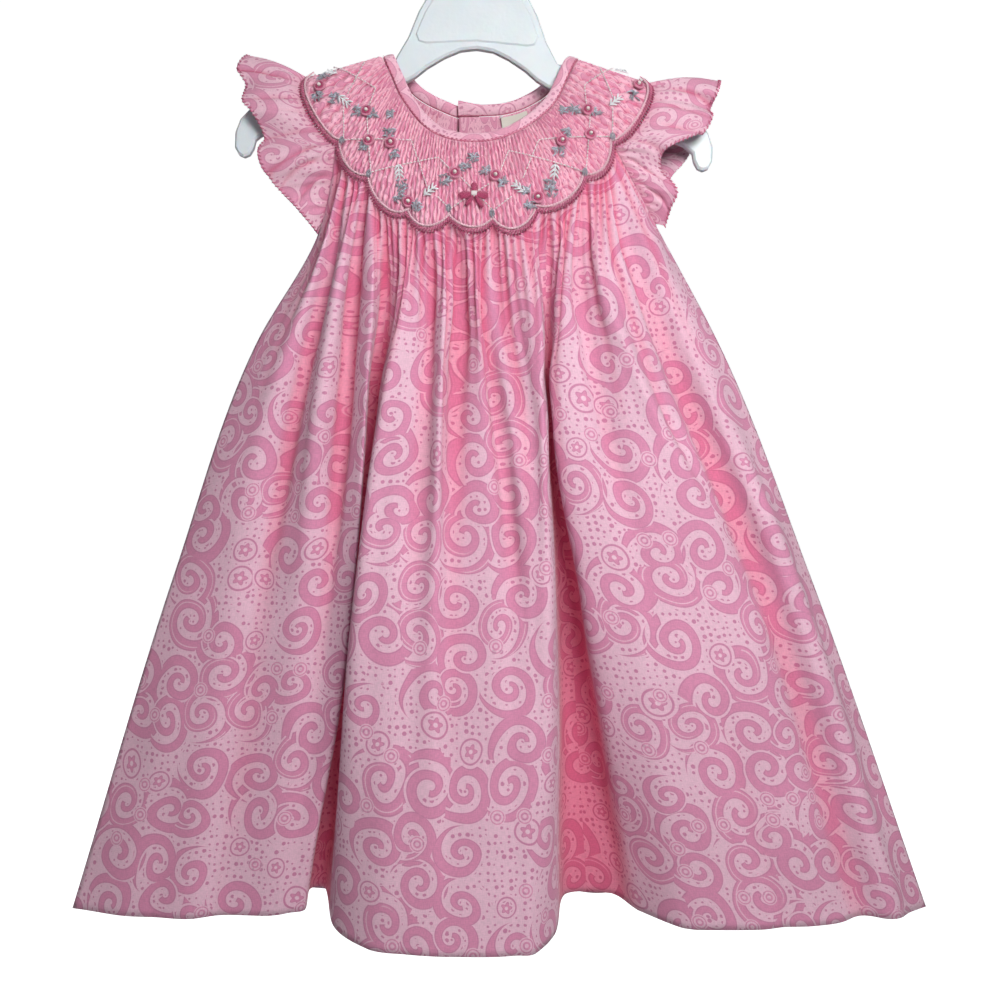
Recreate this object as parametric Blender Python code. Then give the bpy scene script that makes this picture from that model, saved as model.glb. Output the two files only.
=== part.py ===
"""A toddler's bishop dress on a child's plastic hanger: round smocked yoke, gathered skirt, flutter sleeves.

Millimetres inside, metres in the meshes. +X is the viewer's right, -Y the front, +Z up.
The origin is the inside top of the hanger's hook, where the hanger rests on a rail.
"""
import math

import bmesh
import bpy
import numpy as np

for old in list(bpy.data.objects):
    bpy.data.objects.remove(old)

MM = 0.001

# Cloth
WALL = 1.2
SEAM_GAP = 0.3
HEM_Z = -630.0
UNDERARM = 0.1                                   # share of the skirt's height where the raglan seam ends
LEVELS = (0.0, UNDERARM, 0.25, 0.55, 1.0)        # shares of the skirt's height that the fold tables give

# Smocking
PLEATS_PER_SCALLOP = 10
BACK_PLEATS_PER_SCALLOP = 7
PLEAT_RISE = 1.3
SCALLOP_SHARPNESS = 0.7
YOKE_SWELL = 4.0                                 # how far the yoke bellies out halfway down
CORD_RISE = 1.2                                  # thick stitched cord along the scallops
YOKE_ROWS = (0.0, 0.3, 0.58, 0.8, 0.925, 0.96, 1.0)
CORD_ROWS = (0.0, 0.0, 0.0, 0.0, 0.0, 1.0, 0.7)
INNER_YOKE_ROWS = (0.0, 0.3, 0.65, 1.0)

# Yoke front: along counts scallops from the wearer's right shoulder to the left one.
# along, neck x, neck y, neck z, edge x, edge y, edge z
YOKE_FRONT = (
    (0.0, -61.0, -0.15, -108.0, -104.6, -0.15, -119.5),
    (0.2, -60.3, -5.2, -110.6, -104.0, -6.8, -126.0),
    (1.0, -55.0, -8.5, -122.8, -86.0, -14.0, -165.9),
    (2.0, -47.9, -12.5, -138.8, -66.9, -22.0, -190.1),
    (3.0, -34.2, -18.0, -157.3, -42.8, -28.0, -211.3),
    (4.0, -18.0, -21.0, -166.1, -18.6, -31.0, -215.1),
    (5.0, 2.7, -22.0, -167.6, 6.9, -31.0, -216.8),
    (6.0, 20.5, -21.0, -162.0, 32.0, -29.0, -209.3),
    (7.0, 35.4, -17.0, -150.9, 60.4, -24.0, -190.2),
    (8.0, 46.7, -11.0, -136.6, 78.4, -16.0, -167.2),
    (8.8, 57.5, -5.2, -113.0, 97.4, -6.8, -129.0),
    (9.0, 59.6, -0.15, -109.5, 98.6, -0.15, -122.3),
)
FRONT_DROPS = (7.3, 6.0, 8.5, 9.0, 7.6, 10.5, 7.0, 6.3, 7.8)

# Yoke backs: along counts scallops from the shoulder to the back opening.
YOKE_BACK_LEFT = (
    (0.0, -61.0, 0.15, -108.0, -104.6, 0.15, -119.5),
    (0.2, -60.0, 5.2, -110.3, -104.0, 6.8, -126.0),
    (1.0, -52.0, 10.0, -117.5, -89.0, 14.0, -158.0),
    (2.0, -41.0, 15.5, -127.0, -68.0, 21.5, -176.0),
    (3.0, -25.0, 19.8, -134.0, -40.0, 25.5, -186.0),
    (3.6, -14.0, 23.6, -136.4, -20.0, 29.2, -187.5),
    (4.0, -3.0, 24.6, -137.0, -3.0, 30.2, -188.0),
)
YOKE_BACK_RIGHT = (
    (0.0, 59.6, 0.15, -109.5, 98.6, 0.15, -122.3),
    (0.2, 57.6, 5.2, -112.4, 97.4, 6.8, -129.0),
    (1.0, 48.5, 10.0, -119.5, 81.0, 14.0, -159.0),
    (2.0, 35.0, 15.0, -129.0, 56.0, 20.5, -178.0),
    (3.0, 15.0, 18.5, -135.8, 24.0, 24.0, -187.0),
    (4.0, -14.6, 19.4, -137.0, -14.6, 25.2, -188.0),
)
BACK_DROPS = (6.5, 7.0, 8.0, 6.0)
PLAIN_FROM = 2.9                                 # the placket's facing is left unpleated from here on

# Skirt folds, from the wearer's right side seam to the left one. Ridges and creases run down from the yoke.
# name, along the yoke's scallops, x at the four lower levels, y at the four lower levels, hem lift
SKIRT_FRONT = (
    ("seam_left", 1.0, -99, -138, -188, -252, -1, 0, 1, 2, 0),
    ("panel_left", 1.28, -95, -118, -158, -196, -16, -18, -16, -14, 0),
    ("crease_1", 1.52, -88, -105, -130, -158, -16, -13, -13, -10, 1),
    ("ridge_1", 1.75, -81, -91, -107, -129, -24, -26, -22, -12, 1),
    ("crease_2", 2.0, -75, -80, -91, -116, -16, -16, -19, -10, 2),
    ("left_fold", 2.2, -63, -66, -75, -107, -27, -31, -27, -5, 2),
    ("gap_left", 2.45, -59, -67, -79, -109, -17, -8, 2, 17, 6),
    ("gap_right", 2.65, -54, -61, -73, -99, -17, -9, 1, 18, 6),
    ("centre_fold", 3.0, -47, -58, -73, -86, -29, -36, -44, -30, 3),
    ("centre_shoulder", 3.3, -40, -48, -58, -62, -27, -37, -50, -54, 0),
    ("pleat_1", 3.6, -30, -34, -40, -41, -21, -31, -51, -60, 0),
    ("ridge_2", 3.9, -21, -23, -26, -25, -30, -40, -53, -62, 0),
    ("pleat_2", 4.2, -12, -15, -16, -14, -20, -28, -46, -62, 0),
    ("ridge_3", 4.6, -2, 3, 7, 8, -29, -35, -50, -62, 0),
    ("crease_3", 4.85, 4, 13, 18, 20, -24, -31, -47, -61, 0),
    ("pleat_3", 5.28, 18, 26, 30, 31, -25, -34, -49, -59, 0),
    ("centre_edge", 5.84, 33, 36, 41, 43, -30, -37, -47, -38, 2),
    ("recess_left", 6.1, 36, 39, 47, 51, -17, -14, -5, 6, 7),
    ("recess_right", 6.3, 41, 42, 58, 80, -17, -14, -5, 7, 7),
    ("right_fold", 6.52, 46, 41, 60, 95, -29, -34, -34, -6, 2),
    ("right_shoulder", 6.75, 53, 57, 81, 118, -27, -35, -40, -26, 0),
    ("pleat_4", 6.95, 59, 68, 96, 139, -20, -29, -38, -29, 0),
    ("ridge_4", 7.2, 68, 79, 112, 169, -27, -34, -39, -28, 0),
    ("ridge_5", 7.5, 78, 98, 146, 205, -26, -32, -34, -24, 1),
    ("pleat_5", 7.7, 88, 112, 166, 227, -16, -15, -20, -17, 2),
    ("ridge_6", 7.85, 99, 127, 182, 247, -19, -19, -20, -15, 2),
    ("seam_right", 8.0, 108, 145, 200, 273, -1, 0, 1, 2, 1),
)
SKIRT_BACK_LEFT = (
    ("seam_left", 1.0, -99, -138, -188, -252, 1.8, 2.8, 3.8, 4.8, 0),
    ("side_ridge", 1.3, -94, -124, -168, -222, 14, 15, 17, 18, 0),
    ("side_crease", 1.6, -86, -111, -150, -192, 17, 15, 14, 13, 1),
    ("ridge_a", 2.0, -76, -98, -130, -165, 24, 27, 29, 28, 0),
    ("crease_a", 2.4, -66, -85, -112, -141, 21, 21, 22, 22, 0),
    ("ridge_b", 2.8, -54, -71, -93, -114, 26, 30, 33, 33, 1),
    ("crease_b", 3.1, -43, -56, -72, -86, 24, 27, 29, 29, 1),
    ("ridge_c", 3.4, -32, -41, -51, -59, 28, 33, 36, 36, 0),
    ("crease_c", 3.65, -19, -25, -29, -31, 25, 26, 27, 28, 0),
    ("centre", 3.85, -9.0, -8.0, -5.2, -3.2, 28, 31, 32, 33, 0),
)
SKIRT_BACK_RIGHT = (
    ("seam_right", 1.0, 108, 145, 200, 273, 1.8, 2.8, 3.8, 4.8, 1),
    ("side_ridge", 1.35, 96, 130, 178, 240, 14, 15, 17, 18, 1),
    ("side_crease", 1.65, 86, 114, 156, 207, 18, 16, 16, 15, 0),
    ("ridge_d", 2.0, 75, 98, 133, 172, 25, 28, 31, 31, 0),
    ("crease_d", 2.35, 63, 80, 108, 139, 21, 20, 21, 22, 1),
    ("ridge_e", 2.75, 49, 63, 84, 105, 26, 30, 34, 35, 1),
    ("crease_e", 3.1, 36, 47, 61, 74, 23, 24, 25, 26, 0),
    ("ridge_f", 3.5, 21, 28, 36, 43, 27, 31, 35, 36, 0),
    ("centre", 3.85, -8.4, -7.4, -4.6, -2.6, 28, 31, 32, 33, 0),
)
GATHER_RISE = 0.8
GATHER_END = 0.35

# Sleeves: round counts from the underarm up the front (0 to 2) and down the back (2 to 4).
# round, hem x, hem y, hem z
SLEEVE_LEFT = (
    (0.08, -105.0, -3.5, -215.0),
    (0.35, -115.4, -10.0, -200.3),
    (0.55, -122.0, -8.5, -192.0),
    (0.80, -131.0, -17.0, -181.0),
    (1.00, -134.0, -15.0, -170.0),
    (1.20, -131.5, -9.5, -160.0),
    (1.45, -138.0, -14.0, -146.0),
    (1.62, -144.0, -12.0, -138.5),
    (1.76, -143.5, -5.0, -126.0),
    (1.88, -149.0, -8.0, -117.5),
    (2.00, -145.0, 0.0, -106.5),
    (2.20, -146.0, 8.0, -116.0),
    (2.45, -141.0, 13.5, -132.0),
    (2.70, -136.0, 9.0, -146.0),
    (2.95, -132.0, 16.0, -161.0),
    (3.25, -126.0, 14.0, -177.0),
    (3.50, -119.0, 9.0, -189.0),
    (3.72, -112.0, 10.5, -200.0),
    (3.92, -105.0, 4.3, -215.0),
)
SLEEVE_RIGHT = (
    (0.08, 111.5, -3.5, -212.0),
    (0.35, 114.0, -10.0, -203.0),
    (0.60, 117.0, -14.0, -193.0),
    (0.82, 108.0, -9.0, -179.0),
    (1.00, 110.0, -17.0, -170.0),
    (1.20, 128.0, -18.0, -161.6),
    (1.38, 134.7, -15.0, -157.5),
    (1.55, 138.4, -14.0, -149.0),
    (1.70, 138.5, -6.5, -142.5),
    (1.85, 142.5, -10.0, -133.5),
    (2.00, 146.4, 0.0, -122.5),
    (2.20, 144.0, 9.0, -131.0),
    (2.45, 138.0, 13.5, -146.0),
    (2.75, 130.0, 12.0, -162.0),
    (3.00, 124.0, 10.0, -170.5),
    (3.25, 117.5, 12.0, -178.0),
    (3.55, 116.0, 9.0, -190.0),
    (3.75, 111.0, 7.0, -199.0),
    (3.92, 111.0, 4.3, -208.5),
)
SLEEVE_PUFF = 3.0
SLEEVE_ROWS = (0.0, 0.22, 0.48, 0.74, 1.0)
COLUMNS_PER_SLEEVE_ROW = 2

# Neck binding, placket buttons, label and bow
BINDING_WIDTH = 7.0
BINDING_WALL = 2.4
BINDING_COLUMNS_PER_SCALLOP = 4
BUTTON_RADIUS = 5.6
BUTTON_HEIGHT = 2.4
BUTTON_COUNT = 3
LABEL_ALONG = (17 / 7, 18 / 7, 19 / 7, 20 / 7, 3.0, 22 / 7)  # along the right back yoke
LABEL_DOWN = (0.02, 0.3, 0.58)
LABEL_STANDOFF = 0.5
LABEL_WALL = 1.0
BOW_ALONG = 4.47
BOW_DOWN = 0.53
BOW_SPAN = 18.0
BOW_HEIGHT = 10.5
BOW_WALL = 2.0

# Hanger, before it tips: it hangs a little lower on the viewer's right.
HANGER_TIP_ANGLE = math.radians(1.75)
HANGER_THICKNESS = 6.0
PANEL_THICKNESS = 8.0
HOOK_INNER_RADIUS = 19.0
HOOK_WIDTH = 6.5
HOOK_STEPS = 22
# half outline from under the hook, round the arm's tip and back to the arch: x, z
HANGER_HALF = (
    (8.0, -56.0), (19.0, -62.0), (31.0, -72.0), (36.5, -82.0), (42.0, -97.0), (49.6, -110.9),
    (58.0, -113.6), (67.0, -116.2), (94.0, -125.4), (112.0, -132.8), (130.0, -140.4), (137.0, -143.8),
    (143.0, -150.5), (146.0, -159.0), (146.0, -168.0), (143.6, -172.2), (140.3, -173.6), (137.0, -172.2),
    (134.6, -168.0), (133.6, -163.0), (128.0, -158.6), (86.0, -142.0), (44.0, -125.6), (37.0, -121.5),
    (29.7, -115.4), (19.6, -109.0), (10.0, -104.6),
)
ARCH_TOP = (0.0, -103.2)
PANEL_HALF = ((14.0, -64.5), (27.0, -73.5), (32.5, -83.0), (37.5, -96.0), (35.5, -100.6), (31.0, -101.6))
PANEL_TOP = (0.0, -62.0)
PANEL_BOTTOM = (0.0, -99.4)


def material(name, colour, roughness):
    """A plain Principled material."""
    made = bpy.data.materials.new(name)
    made.use_nodes = True
    shader = made.node_tree.nodes["Principled BSDF"]
    shader.inputs["Base Color"].default_value = (*colour, 1.0)
    shader.inputs["Roughness"].default_value = roughness
    shader.inputs["Metallic"].default_value = 0.0
    return made


PRINT = material("printed_cotton", (0.75, 0.36, 0.46), 0.85)
SMOCKED = material("smocked_cotton", (0.66, 0.20, 0.30), 0.85)
BINDING = material("bias_binding", (0.70, 0.28, 0.38), 0.8)
CREAM = material("cream_tape", (0.82, 0.78, 0.70), 0.7)
PEARL = material("pink_button", (0.80, 0.50, 0.56), 0.35)
BOW_FLOSS = material("bow_floss", (0.55, 0.06, 0.16), 0.6)
HANGER_WHITE = material("hanger_plastic", (0.80, 0.84, 0.86), 0.3)


def through(knots, values, at, own_column=False):
    """A smooth curve through the values at the knots, read at the places given.

    With own_column, each place reads its own column of the values.
    """
    knots = np.asarray(knots, dtype=float)
    values = np.asarray(values, dtype=float)
    at = np.atleast_1d(np.asarray(at, dtype=float))
    slopes = np.gradient(values, knots, axis=0)
    cell = np.clip(np.searchsorted(knots, at, side="right") - 1, 0, len(knots) - 2)
    span = knots[cell + 1] - knots[cell]
    f = (at - knots[cell]) / span
    if own_column:
        column = np.arange(len(at))
        first, second = values[cell, column], values[cell + 1, column]
        first_slope, second_slope = slopes[cell, column], slopes[cell + 1, column]
    else:
        shape = (-1,) + (1,) * (values.ndim - 1)
        f = f.reshape(shape)
        span = span.reshape(shape)
        first, second = values[cell], values[cell + 1]
        first_slope, second_slope = slopes[cell], slopes[cell + 1]
    start = (2 * f**3 - 3 * f**2 + 1) * first + (f**3 - 2 * f**2 + f) * span * first_slope
    end = (3 * f**2 - 2 * f**3) * second + (f**3 - f**2) * span * second_slope
    return start + end


def unit(vectors):
    """The same vectors with a length of one."""
    return vectors / np.maximum(np.linalg.norm(vectors, axis=-1, keepdims=True), 1e-9)


class Yoke:
    """A smocked yoke piece between the neck seam and its scalloped edge."""

    def __init__(self, table, drops, outward):
        table = np.asarray(table, dtype=float)
        self.knots = table[:, 0]
        self.neck = table[:, 1:4]
        self.edge = table[:, 4:7]
        self.drops = np.asarray(drops)
        self.outward = outward
        self.length = len(drops)

    def neck_at(self, along):
        return through(self.knots, self.neck, along)

    def down_at(self, along):
        """Unit direction of the pleats, from the neck to the edge."""
        return unit(through(self.knots, self.edge, along) - self.neck_at(along))

    def edge_at(self, along):
        """The scalloped edge: lobes that hang past the line through their corners."""
        along = np.atleast_1d(along)
        lobe = np.clip(along.astype(int), 0, self.length - 1)
        f = np.clip(along - lobe, 0.0, 1.0)
        arch = (4.0 * f * (1.0 - f)) ** SCALLOP_SHARPNESS * self.drops[lobe]
        return through(self.knots, self.edge, along) + arch[:, None] * self.down_at(along)

    def at(self, along, down):
        """Points of the plain outer surface; along and down have the same length."""
        along = np.atleast_1d(along).astype(float)
        down = np.atleast_1d(down).astype(float)
        neck = self.neck_at(along)
        edge = self.edge_at(along)
        points = neck + (edge - neck) * down[:, None]
        swell = np.sin(np.pi * np.clip(down, 0, 1)) * np.sin(np.pi * np.clip(along / self.length, 0, 1)) ** 0.5
        if self.outward > 0:
            swell = np.sin(np.pi * np.clip(down, 0, 1)) * np.clip(along, 0, 1)
        points[:, 1] += self.outward * YOKE_SWELL * swell
        return points

    def normal(self, along, down):
        """Unit normals of the plain surface, pointing out of the garment."""
        along = np.atleast_1d(along).astype(float)
        down = np.atleast_1d(down).astype(float)
        step = 0.004
        low = np.clip(along - step, 0, self.length)
        high = np.clip(along + step, 0, self.length)
        across = self.at(high, down * 0 + 0.5) - self.at(low, down * 0 + 0.5)
        drop = self.at(along, np.clip(down + 0.05, 0, 1)) - self.at(along, np.clip(down - 0.05, 0, 1))
        normals = unit(np.cross(across, drop))
        middle = self.length // 2
        check = np.cross(self.at(middle + step, 0.5) - self.at(middle, 0.5), self.down_at(middle))
        if check[0, 1] * self.outward < 0:
            normals = -normals
        normals[(along < 0.01) | ((self.outward < 0) & (along > self.length - 0.01)), 1] = 0.0
        return unit(normals)


class Skirt:
    """A skirt panel that hangs from a yoke's scallops in the folds of its table."""

    def __init__(self, table, yoke):
        self.yoke = yoke
        self.along = np.array([row[1] for row in table], dtype=float)
        self.x = np.array([row[2:6] for row in table], dtype=float)
        self.y = np.array([row[6:10] for row in table], dtype=float)
        self.lift = np.array([row[10] for row in table], dtype=float)
        self.last = len(table) - 1

    def at(self, fold, drop):
        """Points of the outer surface; fold counts table rows, drop runs from 0 at the yoke to 1 at the hem."""
        fold = np.clip(np.atleast_1d(fold).astype(float), 0, self.last)
        drop = np.atleast_1d(drop).astype(float)
        rows = np.arange(self.last + 1)
        along = np.interp(fold, rows, self.along)
        top = self.yoke.edge_at(along) + 2 * SEAM_GAP * self.yoke.down_at(along)
        x_levels = np.vstack([top[:, 0], through(rows, self.x, fold).T])
        y_levels = np.vstack([top[:, 1], through(rows, self.y, fold).T])
        points = np.empty((len(fold), 3))
        points[:, 0] = through(LEVELS, x_levels, drop, own_column=True)
        points[:, 1] = through(LEVELS, y_levels, drop, own_column=True)
        hem = HEM_Z + np.interp(fold, rows, self.lift)
        points[:, 2] = top[:, 2] + (hem - top[:, 2]) * drop
        fade = np.clip(1.0 - drop / GATHER_END, 0, 1) * np.clip(drop / 0.04, 0, 1)
        edges = np.clip(fold * 2, 0, 1) * np.clip((self.last - fold) * 2, 0, 1)
        points[:, 1] += self.yoke.outward * GATHER_RISE * fade * edges * np.cos(2 * np.pi * fold)
        return points

    def normal(self, fold, drop):
        """Unit normals pointing out of the garment; at the yoke's edge they are the yoke's own."""
        fold = np.atleast_1d(fold).astype(float)
        drop = np.atleast_1d(drop).astype(float)
        across = self.at(fold + 0.06, drop) - self.at(fold - 0.06, drop)
        down = self.at(fold, np.clip(drop + 0.02, 0, 1)) - self.at(fold, np.clip(drop - 0.02, 0, 1))
        normals = unit(np.cross(across, down))
        if (np.sum(normals[:, 1]) * self.yoke.outward) < 0:
            normals = -normals
        rows = np.arange(self.last + 1)
        along = np.interp(np.clip(fold, 0, self.last), rows, self.along)
        own = np.clip(drop / 0.05, 0, 1)[:, None]
        return unit(normals * own + self.yoke.normal(along, np.ones_like(along)) * (1 - own))


def zip_edges(bm, first, second):
    """Close the strip between two rows of vertices that start and end side by side."""
    i = 0
    j = 0
    while i < len(first) - 1 or j < len(second) - 1:
        next_first = (i + 1) / (len(first) - 1)
        next_second = (j + 1) / (len(second) - 1)
        if j == len(second) - 1 or (i < len(first) - 1 and next_first <= next_second):
            bm.faces.new((first[i], first[i + 1], second[j]))
            i += 1
        else:
            bm.faces.new((first[i], second[j + 1], second[j]))
            j += 1


def closed_wall(name, outer, inner, look):
    """One closed solid from an outer and an inner grid of points, which may differ in fineness."""
    bm = bmesh.new()
    sheets = []
    for grid in (outer, inner):
        verts = [[bm.verts.new(point * MM) for point in row] for row in grid]
        for upper, lower in zip(verts, verts[1:]):
            for k in range(len(upper) - 1):
                bm.faces.new((upper[k], upper[k + 1], lower[k + 1], lower[k]))
        sheets.append(verts)
    out, inn = sheets
    zip_edges(bm, out[0], inn[0])
    zip_edges(bm, out[-1], inn[-1])
    zip_edges(bm, [row[0] for row in out], [row[0] for row in inn])
    zip_edges(bm, [row[-1] for row in out], [row[-1] for row in inn])
    bmesh.ops.triangulate(bm, faces=bm.faces)
    bmesh.ops.recalc_face_normals(bm, faces=bm.faces)
    if bm.calc_volume(signed=True) < 0:
        bmesh.ops.reverse_faces(bm, faces=bm.faces)
    return add_object(name, bm, look)


def add_object(name, bm, look):
    """Put a finished bmesh in the scene as one named object."""
    mesh = bpy.data.meshes.new(name)
    bm.to_mesh(mesh)
    bm.free()
    mesh.materials.append(look)
    made = bpy.data.objects.new(name, mesh)
    bpy.context.scene.collection.objects.link(made)
    return made


def grid_of(function, columns, rows):
    """Read a surface function on a grid: one row of points for each value in rows."""
    return np.array([function(np.asarray(columns, float), np.full(len(columns), row)) for row in rows])


def yoke_piece(name, yoke, pleats_per_scallop, plain_from=None):
    """Smocking stands on the outer face as pleats, with the stitched cord along the scallops."""
    pleats = yoke.length * pleats_per_scallop
    columns = np.linspace(0, yoke.length, 2 * pleats + 1)
    pleated = np.ones(len(columns)) if plain_from is None else (columns < plain_from).astype(float)
    ridge = (np.arange(len(columns)) % 2) * pleated
    ends = np.minimum(1.0, np.minimum(columns, yoke.length - columns) * 8)
    points = grid_of(yoke.at, columns, YOKE_ROWS)
    normals = grid_of(yoke.normal, columns, YOKE_ROWS)
    cord = np.array(CORD_ROWS)[:, None]
    rise = np.where(cord > 0, CORD_RISE * cord, PLEAT_RISE * ridge[None, :]) * ends[None, :]
    outer = points + normals * rise[..., None]
    plain = np.linspace(0, yoke.length, pleats + 1)
    inner = grid_of(yoke.at, plain, INNER_YOKE_ROWS) - grid_of(yoke.normal, plain, INNER_YOKE_ROWS) * WALL
    return closed_wall(name, outer, inner, SMOCKED)


def skirt_piece(name, skirt, columns_per_fold, rows):
    """A folded wall from the scallops to the hem."""
    columns = np.linspace(0, skirt.last, skirt.last * columns_per_fold + 1)
    outer = grid_of(skirt.at, columns, rows)
    inner = outer - grid_of(skirt.normal, columns, rows) * WALL
    return closed_wall(name, outer, inner, PRINT)


class Sleeve:
    """A flutter sleeve set round the armhole: raglan seam, shoulder scallop, and the same behind."""

    def __init__(self, table, front, back, left):
        table = np.asarray(table, dtype=float)
        self.round = table[:, 0]
        self.hem = table[:, 1:4]
        self.front = front
        self.back = back
        self.left = left

    def root(self, turn):
        """Points of the armhole, and the outward normals of the pieces that they lie on."""
        points = []
        normals = []
        for r in turn:
            if r < 1.0 or r > 3.0:
                skirt = self.front if r < 1.0 else self.back
                fold = 0.0 if (self.left or r > 3.0) else float(skirt.last)
                drop = UNDERARM * ((1.0 - r) if r < 1.0 else (r - 3.0))
                point = skirt.at(fold, drop)[0]
                normal = skirt.normal(fold, drop)[0]
                away = np.array([-1.0 if self.left else 1.0, 0.0, 0.0])
            else:
                yoke = (self.front if r < 2.0 else self.back).yoke
                if r < 2.0:
                    along = (2.0 - r) if self.left else (yoke.length - 2.0 + r)
                else:
                    along = r - 2.0
                point = yoke.edge_at(along)[0]
                normal = yoke.normal(along, 1.0)[0]
                away = yoke.down_at(along)[0]
            away = away - normal * np.dot(away, normal)
            points.append(point + unit(away) * 2 * SEAM_GAP)
            normals.append(normal)
        return np.array(points), np.array(normals)

    def at(self, turn, out):
        """Points of the outer surface; out runs from 0 at the armhole to 1 at the sleeve's hem."""
        root, normals = self.root(turn)
        hem = through(self.round, self.hem, turn)
        points = root + (hem - root) * out[:, None]
        return points + normals * (SLEEVE_PUFF * np.sin(np.pi * out) * np.sin(np.pi * turn / 4.0))[:, None]

    def normal(self, turn, out):
        """Unit normals, away from the arm; at the armhole they are those of the pieces sewn on."""
        step = 0.05
        low = np.clip(turn - step, self.round[0], self.round[-1])
        high = np.clip(turn + step, self.round[0], self.round[-1])
        across = self.at(high, out) - self.at(low, out)
        length = self.at(turn, np.clip(out + 0.1, 0, 1)) - self.at(turn, np.clip(out - 0.1, 0, 1))
        normals = unit(np.cross(across, length)) * (-1.0 if self.left else 1.0)
        middle = np.argmin(np.abs(turn - 2.0))
        if normals[middle, 2] < 0:
            normals = -normals
        own = np.clip(out / 0.2, 0, 1)[:, None]
        return unit(normals * own + self.root(turn)[1] * (1 - own))


def sleeve_piece(name, sleeve):
    """A thin flounce, open at the armhole and at its hem."""
    columns = np.interp(
        np.linspace(0, len(sleeve.round) - 1, (len(sleeve.round) - 1) * COLUMNS_PER_SLEEVE_ROW + 1),
        np.arange(len(sleeve.round)), sleeve.round)
    outer = grid_of(sleeve.at, columns, SLEEVE_ROWS)
    inner = outer - grid_of(sleeve.normal, columns, SLEEVE_ROWS) * WALL
    return closed_wall(name, outer, inner, PRINT)


def binding_piece(name, back_left, front, back_right):
    """The folded bias strip round the neck, from one end of the back opening to the other."""
    seam = []
    normals = []
    for yoke, reverse in ((back_left, True), (front, False), (back_right, False)):
        along = np.linspace(0, yoke.length, yoke.length * BINDING_COLUMNS_PER_SCALLOP + 1)
        if yoke is not front:
            along = along[1:]
        along = along[::-1] if reverse else along
        seam.append(yoke.neck_at(along))
        normals.append(yoke.normal(along, along * 0))
    seam = np.concatenate(seam)
    normals = np.concatenate(normals)
    tangent = unit(np.gradient(seam, axis=0))
    upward = unit(np.cross(tangent, normals))
    upward *= np.sign(upward[:, 2:3])
    profile = ((0.0, 0.4), (0.45, 0.9), (0.9, 0.6), (1.0, -0.2), (0.9, -0.9), (0.45, -1.35), (0.0, -1.3))
    lift = SEAM_GAP
    ring = np.array([
        seam + upward * (lift + height * BINDING_WIDTH) + normals * (out * BINDING_WALL / 2 - WALL / 4)
        for height, out in profile])
    bm = bmesh.new()
    verts = [[bm.verts.new(point * MM) for point in row] for row in ring]
    count = len(seam)
    for k in range(len(profile)):
        upper = verts[k]
        lower = verts[(k + 1) % len(profile)]
        for i in range(count - 1):
            bm.faces.new((upper[i], upper[i + 1], lower[i + 1], lower[i]))
    bm.faces.new([row[0] for row in verts])
    bm.faces.new([row[-1] for row in verts])
    bmesh.ops.triangulate(bm, faces=bm.faces)
    bmesh.ops.recalc_face_normals(bm, faces=bm.faces)
    return add_object(name, bm, BINDING)


def label_piece(name, yoke):
    """A blank woven label on the inside of the yoke, made from the yoke's own points."""
    points = grid_of(yoke.at, LABEL_ALONG, LABEL_DOWN)
    normals = grid_of(yoke.normal, LABEL_ALONG, LABEL_DOWN)
    near = WALL + LABEL_STANDOFF
    return closed_wall(name, points - normals * near, points - normals * (near + LABEL_WALL), CREAM)


def button_piece(name, yoke, along, down):
    """A shirt button that has come through its buttonhole: a disc with a rounded rim."""
    centre = yoke.at(along, down)[0]
    normal = yoke.normal(along, down)[0]
    side = unit(np.cross(normal, (0.0, 0.0, 1.0)))
    up = np.cross(side, normal)
    bm = bmesh.new()
    rings = []
    for radius, height in ((0.82, 0.0), (1.0, 0.3), (1.0, 0.7), (0.82, 1.0)):
        ring = []
        for k in range(16):
            angle = 2 * math.pi * k / 16
            reach = side * math.cos(angle) + up * math.sin(angle)
            place = centre + reach * BUTTON_RADIUS * radius
            ring.append(bm.verts.new((place + normal * (SEAM_GAP + BUTTON_HEIGHT * height)) * MM))
        rings.append(ring)
    for lower, upper in zip(rings, rings[1:]):
        for k in range(16):
            bm.faces.new((lower[k], lower[(k + 1) % 16], upper[(k + 1) % 16], upper[k]))
    bm.faces.new(rings[0])
    bm.faces.new(rings[-1])
    bmesh.ops.recalc_face_normals(bm, faces=bm.faces)
    return add_object(name, bm, PEARL)


def bow_piece(name, yoke):
    """A small bow of two loops and a knot, stitched on the smocking."""
    half = ((0.12, 0.22), (0.45, 0.46), (0.8, 0.5), (1.0, 0.2), (0.96, -0.3), (0.7, -0.5), (0.35, -0.34), (0.12, -0.2))
    outline = list(half) + [(-x, z) for x, z in reversed(half)]
    centre = yoke.at(BOW_ALONG, BOW_DOWN)[0]
    normal = yoke.normal(BOW_ALONG, BOW_DOWN)[0]
    side = unit(np.array([1.0, 0.0, 0.0]) - normal * normal[0])
    up = np.cross(normal, side)
    up *= np.sign(up[2])
    bm = bmesh.new()
    rings = []
    for inset, height in ((1.0, 0.0), (1.0, 0.55), (0.72, 1.0)):
        ring = []
        for x, z in outline:
            place = centre + side * x * inset * BOW_SPAN / 2 + up * z * inset * BOW_HEIGHT
            rise = PLEAT_RISE + SEAM_GAP + 0.4 + BOW_WALL * height
            ring.append(bm.verts.new((place + normal * rise) * MM))
        rings.append(ring)
    count = len(outline)
    for lower, upper in zip(rings, rings[1:]):
        for k in range(count):
            bm.faces.new((lower[k], lower[(k + 1) % count], upper[(k + 1) % count], upper[k]))
    bm.faces.new(rings[0])
    bm.faces.new(rings[-1])
    bmesh.ops.triangulate(bm, faces=bm.faces)
    bmesh.ops.recalc_face_normals(bm, faces=bm.faces)
    return add_object(name, bm, BOW_FLOSS)


def tipped(x, z):
    """A point of the level hanger, after it tips about the hook."""
    cosine = math.cos(HANGER_TIP_ANGLE)
    sine = math.sin(HANGER_TIP_ANGLE)
    return (x * cosine + z * sine, -x * sine + z * cosine)


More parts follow.
